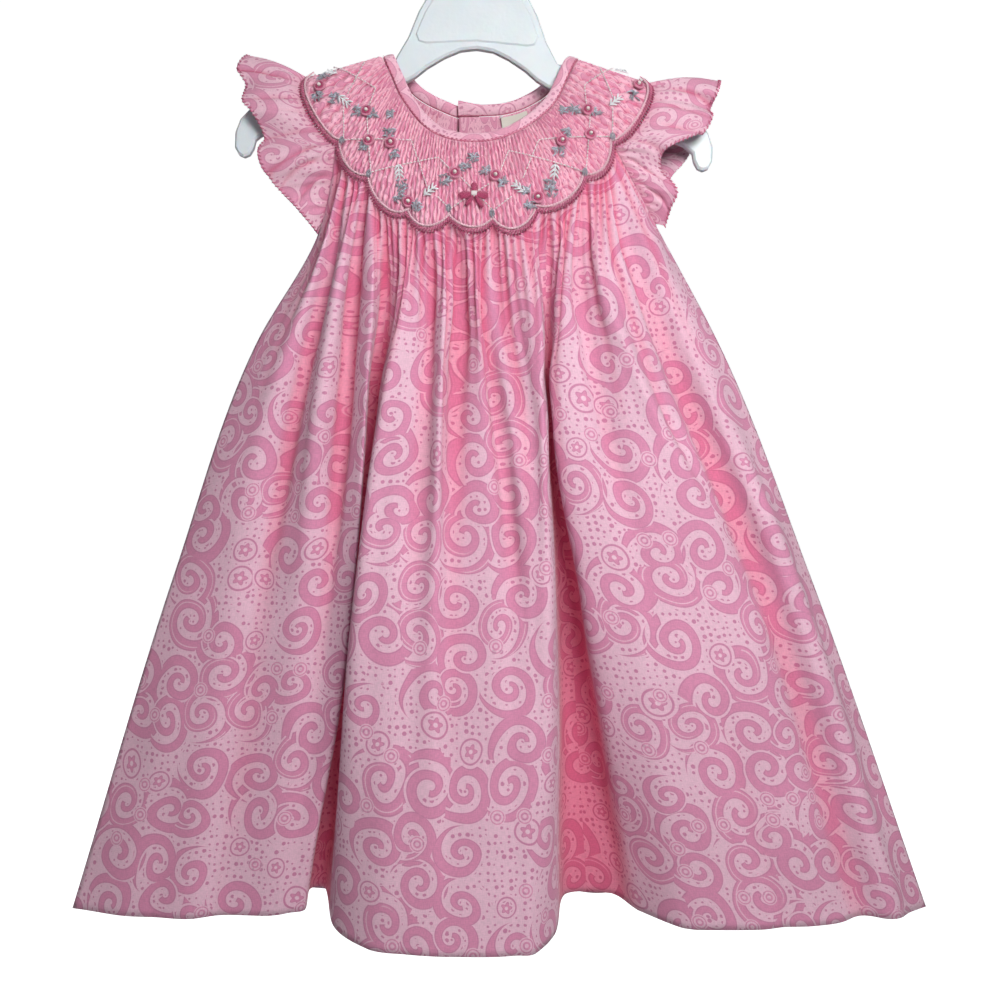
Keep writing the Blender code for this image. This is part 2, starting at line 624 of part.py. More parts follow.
def flat_plate(name, outline, thickness, rounding):
    """An upright plate of an outline in x and z, with rounded rims."""
    bm = bmesh.new()
    verts = [bm.verts.new((x * MM, -thickness / 2 * MM, z * MM)) for x, z in outline]
    face = bm.faces.new(verts)
    grown = bmesh.ops.extrude_face_region(bm, geom=[face])
    moved = [part for part in grown["geom"] if isinstance(part, bmesh.types.BMVert)]
    bmesh.ops.translate(bm, verts=moved, vec=(0.0, thickness * MM, 0.0))
    bmesh.ops.recalc_face_normals(bm, faces=bm.faces)
    made = add_object(name, bm, HANGER_WHITE)
    bevel = made.modifiers.new("rounded_rim", "BEVEL")
    bevel.width = rounding * MM
    bevel.segments = 1
    bevel.limit_method = "ANGLE"
    bevel.angle_limit = math.radians(60)
    return made


def hanger_outline():
    """The whole hanger in one outline: arms, plate and the moulded hook."""
    centre_z = -HOOK_INNER_RADIUS
    radius = HOOK_INNER_RADIUS + HOOK_WIDTH / 2
    path = [(0.0, -54.0), (0.6, -48.5), (4.0, -43.2)]
    for step in range(HOOK_STEPS + 1):
        angle = math.radians(-58.0 + 255.0 * step / HOOK_STEPS)
        path.append((radius * math.cos(angle), centre_z + radius * math.sin(angle)))
    path = np.array(path)
    along = unit(np.gradient(path, axis=0))
    across = np.stack([along[:, 1], -along[:, 0]], axis=1) * HOOK_WIDTH / 2
    tip = [tuple(path[-1] + along[-1] * HOOK_WIDTH * 0.42)]
    right_side = [tuple(point) for point in path + across]
    left_side = [tuple(point) for point in path - across]
    half = list(HANGER_HALF)
    mirrored = [(-x, z) for x, z in reversed(half)]
    outline = right_side[::-1] + half + [ARCH_TOP] + mirrored + left_side + tip
    return [tipped(x, z) for x, z in outline]


def hanger_piece():
    """A white child's hanger of one moulding, with a raised panel on both faces."""
    hanger = flat_plate("hanger", hanger_outline(), HANGER_THICKNESS, 1.3)
    panel_outline = [PANEL_TOP] + list(PANEL_HALF) + [PANEL_BOTTOM] + [(-x, z) for x, z in reversed(PANEL_HALF)]
    panel = flat_plate("panel_cutter", [tipped(x, z) for x, z in panel_outline], PANEL_THICKNESS, 0.8)
    panel.hide_render = True
    panel.display_type = "WIRE"
    join = hanger.modifiers.new("raised_panel", "BOOLEAN")
    join.operation = "UNION"
    join.solver = "EXACT"
    join.object = panel
    return hanger


yoke_front = Yoke(YOKE_FRONT, FRONT_DROPS, -1.0)
yoke_back_left = Yoke(YOKE_BACK_LEFT, BACK_DROPS, 1.0)
yoke_back_right = Yoke(YOKE_BACK_RIGHT, BACK_DROPS, 1.0)
front = Skirt(SKIRT_FRONT, yoke_front)
back_left = Skirt(SKIRT_BACK_LEFT, yoke_back_left)
back_right = Skirt(SKIRT_BACK_RIGHT, yoke_back_right)

hanger_piece()
yoke_piece("yoke_front", yoke_front, PLEATS_PER_SCALLOP)
yoke_piece("yoke_back_left", yoke_back_left, BACK_PLEATS_PER_SCALLOP, PLAIN_FROM)
yoke_piece("yoke_back_right", yoke_back_right, BACK_PLEATS_PER_SCALLOP, PLAIN_FROM)
front_rows = (0.0, 0.03, 0.08, 0.14, 0.21, 0.29, 0.39, 0.5, 0.62, 0.75, 0.88, 1.0)
back_rows = (0.0, 0.04, 0.11, 0.2, 0.32, 0.46, 0.64, 0.82, 1.0)
skirt_piece("skirt_front", front, 4, front_rows)
skirt_piece("skirt_back_left", back_left, 4, back_rows)
skirt_piece("skirt_back_right", back_right, 4, back_rows)
sleeve_piece("sleeve_left", Sleeve(SLEEVE_LEFT, front, back_left, True))
sleeve_piece("sleeve_right", Sleeve(SLEEVE_RIGHT, front, back_right, False))
binding_piece("neck_binding", yoke_back_left, yoke_front, yoke_back_right)
label_piece("neck_label", yoke_back_right)
for number in range(BUTTON_COUNT):
    button_piece(f"button_{number + 1}", yoke_back_left, 3.78, (0.1, 0.47, 0.84)[number])
bow_piece("bow", yoke_front)
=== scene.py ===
"""A toddler's smocked bishop dress on a child's plastic hanger: the looks.

Tables are in millimetres and meshes in metres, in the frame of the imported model. +X is the viewer's right,
-Y the front and +Z up, and the origin is the inside top of the hanger's hook.
"""

import math

import bpy
import numpy as np
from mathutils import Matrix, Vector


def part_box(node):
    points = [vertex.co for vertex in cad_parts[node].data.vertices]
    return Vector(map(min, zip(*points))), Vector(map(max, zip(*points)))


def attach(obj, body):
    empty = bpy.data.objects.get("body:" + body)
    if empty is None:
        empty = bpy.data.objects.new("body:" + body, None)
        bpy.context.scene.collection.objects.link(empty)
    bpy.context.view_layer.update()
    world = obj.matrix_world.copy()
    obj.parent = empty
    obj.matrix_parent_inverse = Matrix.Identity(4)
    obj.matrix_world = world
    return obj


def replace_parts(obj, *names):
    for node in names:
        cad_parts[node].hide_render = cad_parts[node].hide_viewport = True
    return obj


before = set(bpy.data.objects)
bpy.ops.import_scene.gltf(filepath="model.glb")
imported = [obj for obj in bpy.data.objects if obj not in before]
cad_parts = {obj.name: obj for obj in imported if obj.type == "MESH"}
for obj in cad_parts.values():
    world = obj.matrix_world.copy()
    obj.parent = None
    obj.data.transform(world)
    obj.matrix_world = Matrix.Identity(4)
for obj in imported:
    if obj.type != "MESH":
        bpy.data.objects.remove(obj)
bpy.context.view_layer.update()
MM = 0.001


# Camera: level with the middle of the dress, as the photograph was taken.
camera_data = bpy.data.cameras.new("camera")
camera_data.sensor_fit = "HORIZONTAL"
camera_data.sensor_width = 36.0
camera_data.lens = 35.244
camera = bpy.data.objects.new("camera", camera_data)
camera.location = (0.011, -0.600, -0.379)
camera.rotation_euler = (math.radians(90), 0.0, 0.0)
bpy.context.scene.collection.objects.link(camera)
bpy.context.scene.camera = camera


# Hanger: one moulding of thin white plastic, with a raised panel under the hook.
# Its CAD solid stays; the faces are faintly mottled from the mould, and dull where clothes have rubbed.
class Graph:
    """Adds nodes to a tree. A value given to an input is a plain value or another node's output."""

    def __init__(self, tree):
        self.tree = tree

    def add(self, kind, given=None, **settings):
        node = self.tree.nodes.new(kind)
        for key, value in settings.items():
            setattr(node, key, value)
        for name, value in (given or {}).items():
            self.give(node.inputs[name], value)
        return node

    def give(self, socket, value):
        if isinstance(value, bpy.types.NodeSocket):
            self.tree.links.new(value, socket)
        else:
            socket.default_value = value

    def sum(self, operation, *values):
        """A Math node's result."""
        return self.add("ShaderNodeMath", dict(enumerate(values)), operation=operation).outputs[0]

    def between(self, value, low, high, first=0.0, last=1.0):
        """A soft step of the value, from first at low to last at high."""
        given = {"Value": value, "From Min": low, "From Max": high, "To Min": first, "To Max": last}
        return self.add("ShaderNodeMapRange", given, interpolation_type="SMOOTHSTEP").outputs["Result"]

    def vector(self, operation, *values, output=0):
        """A Vector Math node's result."""
        return self.add("ShaderNodeVectorMath", dict(enumerate(values)), operation=operation).outputs[output]

    def colour(self, share, first, second, blend="MIX"):
        """A mix of two colours."""
        given = {0: share, 6: first, 7: second}
        return self.add("ShaderNodeMix", given, data_type="RGBA", blend_type=blend).outputs[2]

    def noise(self, place, scale, detail=2.0, output="Fac"):
        given = {"Vector": place, "Scale": scale, "Detail": detail}
        return self.add("ShaderNodeTexNoise", given).outputs[output]


def finish(name, roughness, **constants):
    """A material with one Principled shader; returns it, its graph and the shader."""
    made = bpy.data.materials.new(name)
    made.use_nodes = True
    graph = Graph(made.node_tree)
    shader = made.node_tree.nodes["Principled BSDF"]
    shader.inputs["Roughness"].default_value = roughness
    for socket, value in constants.items():
        shader.inputs[socket.replace("_", " ")].default_value = value
    return made, graph, shader


def bumped(graph, shader, height, distance, strength=1.0):
    """Joins a height in millimetres to the shader's normal."""
    given = {"Height": height, "Distance": distance * MM, "Strength": strength}
    graph.give(shader.inputs["Normal"], graph.add("ShaderNodeBump", given).outputs[0])


plastic, graph, shader = finish("hanger_plastic", 0.38, Coat_Weight=0.2, Coat_Roughness=0.25,
                                Subsurface_Weight=0.15, Subsurface_Scale=0.004)
place = graph.add("ShaderNodeTexCoord").outputs["Object"]
mottle = graph.noise(place, 55.0, 3.0)
graph.give(shader.inputs["Base Color"],
           graph.colour(mottle, (0.70, 0.775, 0.815, 1), (0.80, 0.85, 0.875, 1)))
graph.give(shader.inputs["Roughness"], graph.between(graph.noise(place, 240.0, 4.0), 0.3, 0.7, 0.3, 0.5))
bumped(graph, shader, graph.noise(place, 420.0, 3.0), 0.15)
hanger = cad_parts["hanger"]
hanger.data.materials.clear()
hanger.data.materials.append(plastic)


# Smocked yoke: the top of the cloth is pleated by hand over the whole round and held by rows of stitches.
# It is the print of the skirt seen on edge, so only chopped strips of it show on the tops of the pleats.
WALL = 1.2
SEAM_GAP = 0.3
SCALLOP_SHARPNESS = 0.7
YOKE_SWELL = 4.0
PLEATS_PER_SCALLOP = 10
BACK_PLEATS_PER_SCALLOP = 7
PLEAT_RISE = 1.7
COLUMNS_PER_PLEAT = 7
YOKE_ROWS = 68
SMOCKING_ROWS = 14
PLAIN_FROM = 2.9
CORD_STARTS = 0.93                   # share of the yoke's height where the pleats end under the stitched cord
# along, neck x, neck y, neck z, edge x, edge y, edge z
YOKE_FRONT = (
    (0.0, -61.0, -0.15, -108.0, -104.6, -0.15, -119.5),
    (0.2, -60.3, -5.2, -110.6, -104.0, -6.8, -126.0),
    (1.0, -55.0, -8.5, -122.8, -86.0, -14.0, -165.9),
    (2.0, -47.9, -12.5, -138.8, -66.9, -22.0, -190.1),
    (3.0, -34.2, -18.0, -157.3, -42.8, -28.0, -211.3),
    (4.0, -18.0, -21.0, -166.1, -18.6, -31.0, -215.1),
    (5.0, 2.7, -22.0, -167.6, 6.9, -31.0, -216.8),
    (6.0, 20.5, -21.0, -162.0, 32.0, -29.0, -209.3),
    (7.0, 35.4, -17.0, -150.9, 60.4, -24.0, -190.2),
    (8.0, 46.7, -11.0, -136.6, 78.4, -16.0, -167.2),
    (8.8, 57.5, -5.2, -113.0, 97.4, -6.8, -129.0),
    (9.0, 59.6, -0.15, -109.5, 98.6, -0.15, -122.3),
)
FRONT_DROPS = (7.3, 6.0, 8.5, 9.0, 7.6, 10.5, 7.0, 6.3, 7.8)
YOKE_BACK_LEFT = (
    (0.0, -61.0, 0.15, -108.0, -104.6, 0.15, -119.5),
    (0.2, -60.0, 5.2, -110.3, -104.0, 6.8, -126.0),
    (1.0, -52.0, 10.0, -117.5, -89.0, 14.0, -158.0),
    (2.0, -41.0, 15.5, -127.0, -68.0, 21.5, -176.0),
    (3.0, -25.0, 19.8, -134.0, -40.0, 25.5, -186.0),
    (3.6, -14.0, 23.6, -136.4, -20.0, 29.2, -187.5),
    (4.0, -3.0, 24.6, -137.0, -3.0, 30.2, -188.0),
)
YOKE_BACK_RIGHT = (
    (0.0, 59.6, 0.15, -109.5, 98.6, 0.15, -122.3),
    (0.2, 57.6, 5.2, -112.4, 97.4, 6.8, -129.0),
    (1.0, 48.5, 10.0, -119.5, 81.0, 14.0, -159.0),
    (2.0, 35.0, 15.0, -129.0, 56.0, 20.5, -178.0),
    (3.0, 15.0, 18.5, -135.8, 24.0, 24.0, -187.0),
    (4.0, -14.6, 19.4, -137.0, -14.6, 25.2, -188.0),
)
BACK_DROPS = (6.5, 7.0, 8.0, 6.0)


def through(knots, values, at, own_column=False):
    """A smooth curve through the values at the knots; with own_column each place reads its own column."""
    knots = np.asarray(knots, dtype=float)
    values = np.asarray(values, dtype=float)
    at = np.atleast_1d(np.asarray(at, dtype=float))
    slopes = np.gradient(values, knots, axis=0)
    cell = np.clip(np.searchsorted(knots, at, side="right") - 1, 0, len(knots) - 2)
    span = knots[cell + 1] - knots[cell]
    f = (at - knots[cell]) / span
    if own_column:
        column = np.arange(len(at))
        first, second = values[cell, column], values[cell + 1, column]
        first_slope, second_slope = slopes[cell, column], slopes[cell + 1, column]
    else:
        shape = (-1,) + (1,) * (values.ndim - 1)
        f = f.reshape(shape)
        span = span.reshape(shape)
        first, second = values[cell], values[cell + 1]
        first_slope, second_slope = slopes[cell], slopes[cell + 1]
    start = (2 * f**3 - 3 * f**2 + 1) * first + (f**3 - 2 * f**2 + f) * span * first_slope
    end = (3 * f**2 - 2 * f**3) * second + (f**3 - f**2) * span * second_slope
    return start + end


def unit(vectors):
    """The same vectors with a length of one."""
    return vectors / np.maximum(np.linalg.norm(vectors, axis=-1, keepdims=True), 1e-9)


class Yoke:
    """A smocked piece between the neck seam and its scalloped edge."""

    def __init__(self, table, drops, outward):
        table = np.asarray(table, dtype=float)
        self.knots = table[:, 0]
        self.neck = table[:, 1:4]
        self.edge = table[:, 4:7]
        self.drops = np.asarray(drops)
        self.outward = outward
        self.length = len(drops)

    def neck_at(self, along):
        return through(self.knots, self.neck, along)

    def down_at(self, along):
        """Unit direction of the pleats, from the neck to the edge."""
        return unit(through(self.knots, self.edge, along) - self.neck_at(along))

    def edge_at(self, along):
        """The scalloped edge: lobes that hang past the line through their corners."""
        along = np.atleast_1d(along)
        lobe = np.clip(along.astype(int), 0, self.length - 1)
        f = np.clip(along - lobe, 0.0, 1.0)
        arch = (4.0 * f * (1.0 - f)) ** SCALLOP_SHARPNESS * self.drops[lobe]
        return through(self.knots, self.edge, along) + arch[:, None] * self.down_at(along)

    def at(self, along, down):
        """Points of the plain outer surface; along and down have the same length."""
        along = np.atleast_1d(along).astype(float)
        down = np.atleast_1d(down).astype(float)
        neck = self.neck_at(along)
        points = neck + (self.edge_at(along) - neck) * down[:, None]
        swell = np.sin(np.pi * np.clip(down, 0, 1))
        if self.outward > 0:
            swell = swell * np.clip(along, 0, 1)
        else:
            swell = swell * np.sin(np.pi * np.clip(along / self.length, 0, 1)) ** 0.5
        points[:, 1] += self.outward * YOKE_SWELL * swell
        return points

    def normal(self, along, down):
        """Unit normals of the plain surface, pointing out of the garment."""
        along = np.atleast_1d(along).astype(float)
        down = np.atleast_1d(down).astype(float)
        step = 0.004
        low = np.clip(along - step, 0, self.length)
        high = np.clip(along + step, 0, self.length)
        across = self.at(high, down * 0 + 0.5) - self.at(low, down * 0 + 0.5)
        drop = self.at(along, np.clip(down + 0.05, 0, 1)) - self.at(along, np.clip(down - 0.05, 0, 1))
        normals = unit(np.cross(across, drop))
        middle = self.length // 2
        check = np.cross(self.at(middle + step, 0.5) - self.at(middle, 0.5), self.down_at(middle))
        if check[0, 1] * self.outward < 0:
            normals = -normals
        normals[(along < 0.01) | ((self.outward < 0) & (along > self.length - 0.01)), 1] = 0.0
        return unit(normals)


def grid_of(function, columns, rows):
    """Read a surface function on a grid: one row of points for each value in rows."""
    return np.array([function(np.asarray(columns, float), np.full(len(columns), row)) for row in rows])


def cloth(name, outer, inner, flat, look, marks=None, breaks=()):
    """One closed shell of cloth from its outer and inner points.

    flat gives each point's place on the uncut cloth, in millimetres, and becomes the UV map. Where the
    cloth's count starts anew at a column, breaks holds (column, the places to its right).
    marks are numbers kept on the points for the material to read.
    """
    rows, columns = outer.shape[:2]
    points = np.concatenate([outer.reshape(-1, 3), inner.reshape(-1, 3)]) * MM
    index = np.arange(rows * columns).reshape(rows, columns)
    quads = np.stack([index[:-1, :-1], index[1:, :-1], index[1:, 1:], index[:-1, 1:]], axis=-1).reshape(-1, 4)
    middle = quads[len(quads) // 2 + columns // 2]
    corner = points[middle]
    facing = np.cross(corner[1] - corner[0], corner[3] - corner[0])
    if np.dot(facing, points[middle[0]] - points[middle[0] + rows * columns]) < 0:
        quads = quads[:, ::-1]
        turned = True
    else:
        turned = False
    around = np.concatenate([index[0, :], index[1:, -1], index[-1, -2::-1], index[-2:0:-1, 0]])
    after = np.roll(around, -1)
    inside = rows * columns
    rim = np.stack([around, after, after + inside, around + inside], axis=-1)
    if turned:
        rim = rim[:, ::-1]
    faces = np.concatenate([quads, quads[:, ::-1] + inside, rim])
    mesh = bpy.data.meshes.new(name)
    mesh.vertices.add(len(points))
    mesh.vertices.foreach_set("co", points.ravel())
    mesh.loops.add(faces.size)
    mesh.loops.foreach_set("vertex_index", faces.ravel().astype(np.int32))
    mesh.polygons.add(len(faces))
    mesh.polygons.foreach_set("loop_start", np.arange(0, faces.size, 4, dtype=np.int32))
    mesh.update(calc_edges=True)
    mesh.validate()
    mesh.shade_smooth()
    places = np.tile(flat.reshape(-1, 2), (2, 1))
    loops = places[faces]
    for column, other in breaks:
        right = (np.minimum.reduce(faces % inside % columns, axis=1) >= column)
        loops[right] = np.tile(other.reshape(-1, 2), (2, 1))[faces[right]]
    layer = mesh.uv_layers.new(name="cloth")
    layer.data.foreach_set("uv", (loops * MM).ravel())
    for mark, values in (marks or {}).items():
        attribute = mesh.attributes.new(mark, "FLOAT", "POINT")
        attribute.data.foreach_set("value", np.tile(values.ravel(), 2).astype(np.float32))
    mesh.materials.append(look)
    made = bpy.data.objects.new(name, mesh)
    bpy.context.scene.collection.objects.link(made)
    return made


def group_tree(name, inputs, outputs):
    """An empty shader node group with its sockets; returns the graph, its inputs and its output node."""
    tree = bpy.data.node_groups.new(name, "ShaderNodeTree")
    for label, kind, default in inputs:
        socket = tree.interface.new_socket(label, in_out="INPUT", socket_type=kind)
        if default is not None:
            socket.default_value = default
    for label, kind in outputs:
        tree.interface.new_socket(label, in_out="OUTPUT", socket_type=kind)
    made = Graph(tree)
    return made, made.add("NodeGroupInput").outputs, made.add("NodeGroupOutput").inputs


def scroll(group, place, cell, spacing):
    """One spiral of a broad band, wound round the middle of a cell, with an arm that leaves it.

    Returns how deep a place lies in the band, in millimetres, with the cell's radius, turn, chance and stripe.
    """
    own = group.add("ShaderNodeSeparateColor", {"Color": cell.outputs["Color"]}).outputs
    size = group.sum("MULTIPLY_ADD", own[0], 0.35, 0.82)
    local = group.vector("MULTIPLY", group.vector("SUBTRACT", place, cell.outputs["Position"]),
                         (spacing, spacing, 0.0))
    parts = group.add("ShaderNodeSeparateXYZ", {"Vector": local}).outputs
    hand = group.sum("SUBTRACT", group.sum("MULTIPLY", group.sum("GREATER_THAN", own[0], 0.5), 2.0), 1.0)
    turn = group.sum("DIVIDE", group.sum("ARCTAN2", group.sum("MULTIPLY", parts[1], hand), parts[0]), 2 * math.pi)
    radius = group.sum("DIVIDE", group.vector("LENGTH", local, output=1), size)
    start = group.sum("ADD", turn, own[1])
    wound = group.sum("POWER", group.sum("DIVIDE", radius, 7.6), 1 / 1.22)
    wound = group.sum("ADD", start, group.sum("ROUND", group.sum("SUBTRACT", wound, start)))
    aside = group.sum("SUBTRACT", radius, group.sum("MULTIPLY", group.sum("POWER", wound, 1.22), 7.6))
    left = group.sum("SUBTRACT", group.sum("MULTIPLY_ADD", own[1], 0.45, 1.95), wound)
    tail = group.between(left, 0.0, 0.45)
    half = group.sum("MULTIPLY", group.sum("MULTIPLY_ADD", group.sum("MINIMUM", wound, 1.5), 1.2, 1.3), tail)
    half = group.sum("SUBTRACT", half, group.sum("MULTIPLY", group.sum("SUBTRACT", 1.0, tail), 0.6))
    inside = group.sum("SUBTRACT", half, group.sum("ABSOLUTE", aside))
    begin = group.sum("MULTIPLY", group.sum("SUBTRACT", wound, 0.30), 14.0)
    depth = group.sum("MINIMUM", group.sum("MINIMUM", inside, begin), group.sum("MULTIPLY", left, 7.0))
    plain = group.sum("LESS_THAN", own[2], 0.8)
    depth = group.sum("SUBTRACT", group.sum("MULTIPLY", group.sum("ADD", depth, 9.0), plain), 9.0)
    beside = group.sum("ABSOLUTE", group.sum("SUBTRACT", aside, 0.9))
    stripe = group.sum("MULTIPLY", group.between(beside, 0.2, 0.42, 1.0, 0.0), group.between(wound, 0.85, 1.1))
    stripe = group.sum("MULTIPLY", stripe, group.sum("GREATER_THAN", own[1], 0.72))
    return depth, radius, turn, own, stripe


def print_group():
    """The printed scrolls: broad spirals about 27 mm apart whose arms sweep round their neighbours, with
    ringed rosettes, small ringed discs and dots between them. Place is in millimetres."""
    group, given, result = group_tree(
        "scroll_print",
        (("Place", "NodeSocketVector", None), ("Ground", "NodeSocketColor", (0.80, 0.44, 0.55, 1)),
         ("Band", "NodeSocketColor", (0.66, 0.22, 0.34, 1)), ("Line", "NodeSocketColor", (0.88, 0.60, 0.68, 1))),
        (("Color", "NodeSocketColor"), ("Band Mask", "NodeSocketFloat")))
    spacing = 27.0
    drift = group.vector("SUBTRACT", group.noise(given["Place"], 0.03, 0.0, "Color"), (0.5, 0.5, 0.5))
    scaled = group.add("ShaderNodeVectorMath", {0: drift, "Scale": 9.0}, operation="SCALE").outputs[0]
    place = group.vector("DIVIDE", group.vector("ADD", given["Place"], scaled), (spacing, spacing, 1.0))
    cells = [group.add("ShaderNodeTexVoronoi", {"Vector": place, "Scale": 1.0, "Randomness": 0.66},
                       voronoi_dimensions="2D", feature=feature) for feature in ("F1", "F2")]
    depth, radius, turn, own, stripe = scroll(group, place, cells[0], spacing)
    arm = scroll(group, place, cells[1], spacing)[0]
    outside = group.sum("MINIMUM", group.sum("SUBTRACT", radius, 8.6), group.sum("SUBTRACT", -1.2, depth))
    shown_arm = group.sum("MINIMUM", arm, outside)
    petals = group.sum("COSINE", group.sum("MULTIPLY", turn, 10 * math.pi))
    flower = group.sum("SUBTRACT", group.sum("MULTIPLY_ADD", petals, 0.8, 3.3), radius)
    ring = group.sum("SUBTRACT", 0.55, group.sum("ABSOLUTE", group.sum("SUBTRACT", radius, 6.4)))
    is_rosette = group.sum("GREATER_THAN", own[2], 0.8)
    motif = group.sum("MAXIMUM", flower, ring)
    motif = group.add("ShaderNodeMix", {0: is_rosette, 2: depth, 3: motif}).outputs[0]
    whole = group.sum("MAXIMUM", motif, shown_arm)
    band = group.between(whole, -0.25, 0.25)
    stripes = group.sum("MULTIPLY", stripe, group.between(depth, 0.1, 0.5))
    dot = group.add("ShaderNodeTexVoronoi",
                    {"Vector": group.vector("DIVIDE", given["Place"], (4.0, 4.0, 1.0)), "Scale": 1.0,
                     "Randomness": 0.5}, voronoi_dimensions="2D")
    chance = group.add("ShaderNodeSeparateColor", {"Color": dot.outputs["Color"]}).outputs
    dot_size = group.sum("MULTIPLY_ADD", group.sum("POWER", chance[0], 1.6), 0.18, 0.15)
    dots = group.between(group.sum("SUBTRACT", dot_size, dot.outputs["Distance"]), -0.05, 0.05)
    dots = group.sum("MULTIPLY", dots, group.between(whole, -1.5, -1.1, 1.0, 0.0))
    dots = group.sum("MULTIPLY", dots, group.sum("GREATER_THAN", chance[1], 0.12))
    small = group.add("ShaderNodeTexVoronoi",
                      {"Vector": group.vector("DIVIDE", given["Place"], (15.0, 15.0, 1.0)), "Scale": 1.0,
                       "Randomness": 0.35}, voronoi_dimensions="2D")
    small_own = group.add("ShaderNodeSeparateColor", {"Color": small.outputs["Color"]}).outputs
    from_middle = group.sum("MULTIPLY", small.outputs["Distance"], 15.0)
    cleared = group.sum("MULTIPLY", group.between(from_middle, 4.4, 4.9, 1.0, 0.0),
                        group.sum("GREATER_THAN", small_own[0], 0.88))
    outer_ring = group.sum("ABSOLUTE", group.sum("SUBTRACT", from_middle, 3.7))
    inner_ring = group.sum("ABSOLUTE", group.sum("SUBTRACT", from_middle, 1.7))
    rings = group.sum("MINIMUM", group.sum("SUBTRACT", outer_ring, 0.35), group.sum("SUBTRACT", inner_ring, 0.55))
    rings = group.between(rings, -0.2, 0.2, 1.0, 0.0)
    centre = group.sum("MULTIPLY", is_rosette, group.between(radius, 0.9, 1.4, 1.0, 0.0))
    marked = group.sum("MAXIMUM", band, dots)
    marked = group.add("ShaderNodeMix", {0: cleared, 2: marked, 3: rings}).outputs[0]
    edge = group.sum("MULTIPLY", group.between(group.sum("ABSOLUTE", group.sum("SUBTRACT", whole, 0.35)),
                                               0.15, 0.5, 0.28, 0.0), marked)
    line = group.sum("MAXIMUM", group.sum("MULTIPLY", stripes, 0.75), centre)
    line = group.sum("MULTIPLY", line, group.sum("SUBTRACT", 1.0, cleared))
    colour = group.colour(marked, given["Ground"], given["Band"])
    colour = group.colour(group.sum("MAXIMUM", edge, group.sum("MULTIPLY", dots, 0.3)), colour,
                          (0.42, 0.13, 0.25, 1))
    colour = group.colour(line, colour, given["Line"])
    group.give(result["Color"], colour)
    group.give(result["Band Mask"], marked)
    return group.tree


def weave_group():
    """A plain weave of fine cotton: threads over and under, with slubs. Place is in millimetres."""
    group, given, result = group_tree(
        "cotton_weave", (("Place", "NodeSocketVector", None), ("Thread", "NodeSocketFloat", 0.5)),
        (("Height", "NodeSocketFloat"), ("Shade", "NodeSocketFloat")))
    parts = group.add("ShaderNodeSeparateXYZ", {"Vector": given["Place"]}).outputs
    across = group.sum("SINE", group.sum("DIVIDE", group.sum("MULTIPLY", parts[0], math.pi), given["Thread"]))
    down = group.sum("SINE", group.sum("DIVIDE", group.sum("MULTIPLY", parts[1], math.pi), given["Thread"]))
    threads = group.sum("ABSOLUTE", group.sum("MULTIPLY", across, down))
    slub = group.noise(group.vector("MULTIPLY", given["Place"], (1.0, 0.16, 1.0)), 2.2, 0.0)
    slub_down = group.noise(group.vector("MULTIPLY", given["Place"], (0.16, 1.0, 1.0)), 2.2, 0.0)
    grain = group.sum("MULTIPLY", group.sum("ADD", slub, slub_down), 0.5)
    group.give(result["Height"], group.sum("MULTIPLY_ADD", threads, 0.3, group.sum("MULTIPLY", grain, 0.9)))
    group.give(result["Shade"], grain)
    return group.tree


SCROLL_PRINT = print_group()
COTTON_WEAVE = weave_group()


# Painted glow: a faint red emission inside the folds stands in for light that comes through thin cotton.
PAINTED_FOLD_GLOW = (0.040, 0.005, 0.010, 1)   # the red light that comes through thin cotton inside a fold


def printed_cotton(name, ground, band, line, painted_shade_tint, thread=0.5):
    """Printed cotton, with painted shade: where the shade mark on the points is high, the pink is darkened and a
    faint red glow is painted in, as inside a fold.
    """
    made, graph, shader = finish(name, 0.86, Sheen_Weight=0.18, Sheen_Roughness=0.5, Specular_IOR_Level=0.25)
    flat = graph.add("ShaderNodeUVMap", uv_map="cloth").outputs[0]
    place = graph.vector("SCALE", flat)
    place.node.inputs["Scale"].default_value = 1000.0
    given = {"Place": place, "Ground": ground, "Band": band, "Line": line}
    pattern = graph.add("ShaderNodeGroup")
    pattern.node_tree = SCROLL_PRINT
    for socket, value in given.items():
        graph.give(pattern.inputs[socket], value)
    weave = graph.add("ShaderNodeGroup")
    weave.node_tree = COTTON_WEAVE
    graph.give(weave.inputs["Place"], place)
    graph.give(weave.inputs["Thread"], thread)
    tone = graph.between(weave.outputs["Shade"], 0.35, 0.65, 0.93, 1.05)
    slow = graph.between(graph.noise(place, 0.02, 1.0), 0.3, 0.7, 0.97, 1.03)
    shade = graph.sum("MULTIPLY", tone, slow)
    colour = graph.colour(1.0, pattern.outputs["Color"],
                          graph.add("ShaderNodeCombineColor", {0: shade, 1: shade, 2: shade}).outputs[0], "MULTIPLY")
    # Painted shade: the mark on the points darkens the colour towards the shade tint and adds the painted glow as
    # emission.
    painted_shade = graph.add("ShaderNodeAttribute", attribute_name="painted_shade").outputs["Fac"]
    colour = graph.colour(painted_shade, colour, graph.colour(1.0, colour, painted_shade_tint, "MULTIPLY"))
    graph.give(shader.inputs["Base Color"], colour)
    graph.give(shader.inputs["Emission Color"], graph.colour(painted_shade, (0, 0, 0, 1), PAINTED_FOLD_GLOW))
    shader.inputs["Emission Strength"].default_value = 1.0
    bumped(graph, shader, weave.outputs["Height"], 0.12)
    return made


# The last colour is the painted shade tint, for the valleys between the pleats.
SMOCKED = printed_cotton("smocked_cotton", (0.90, 0.50, 0.61, 1), (0.78, 0.32, 0.46, 1), (0.92, 0.60, 0.68, 1),
                         (0.76, 0.33, 0.45, 1))


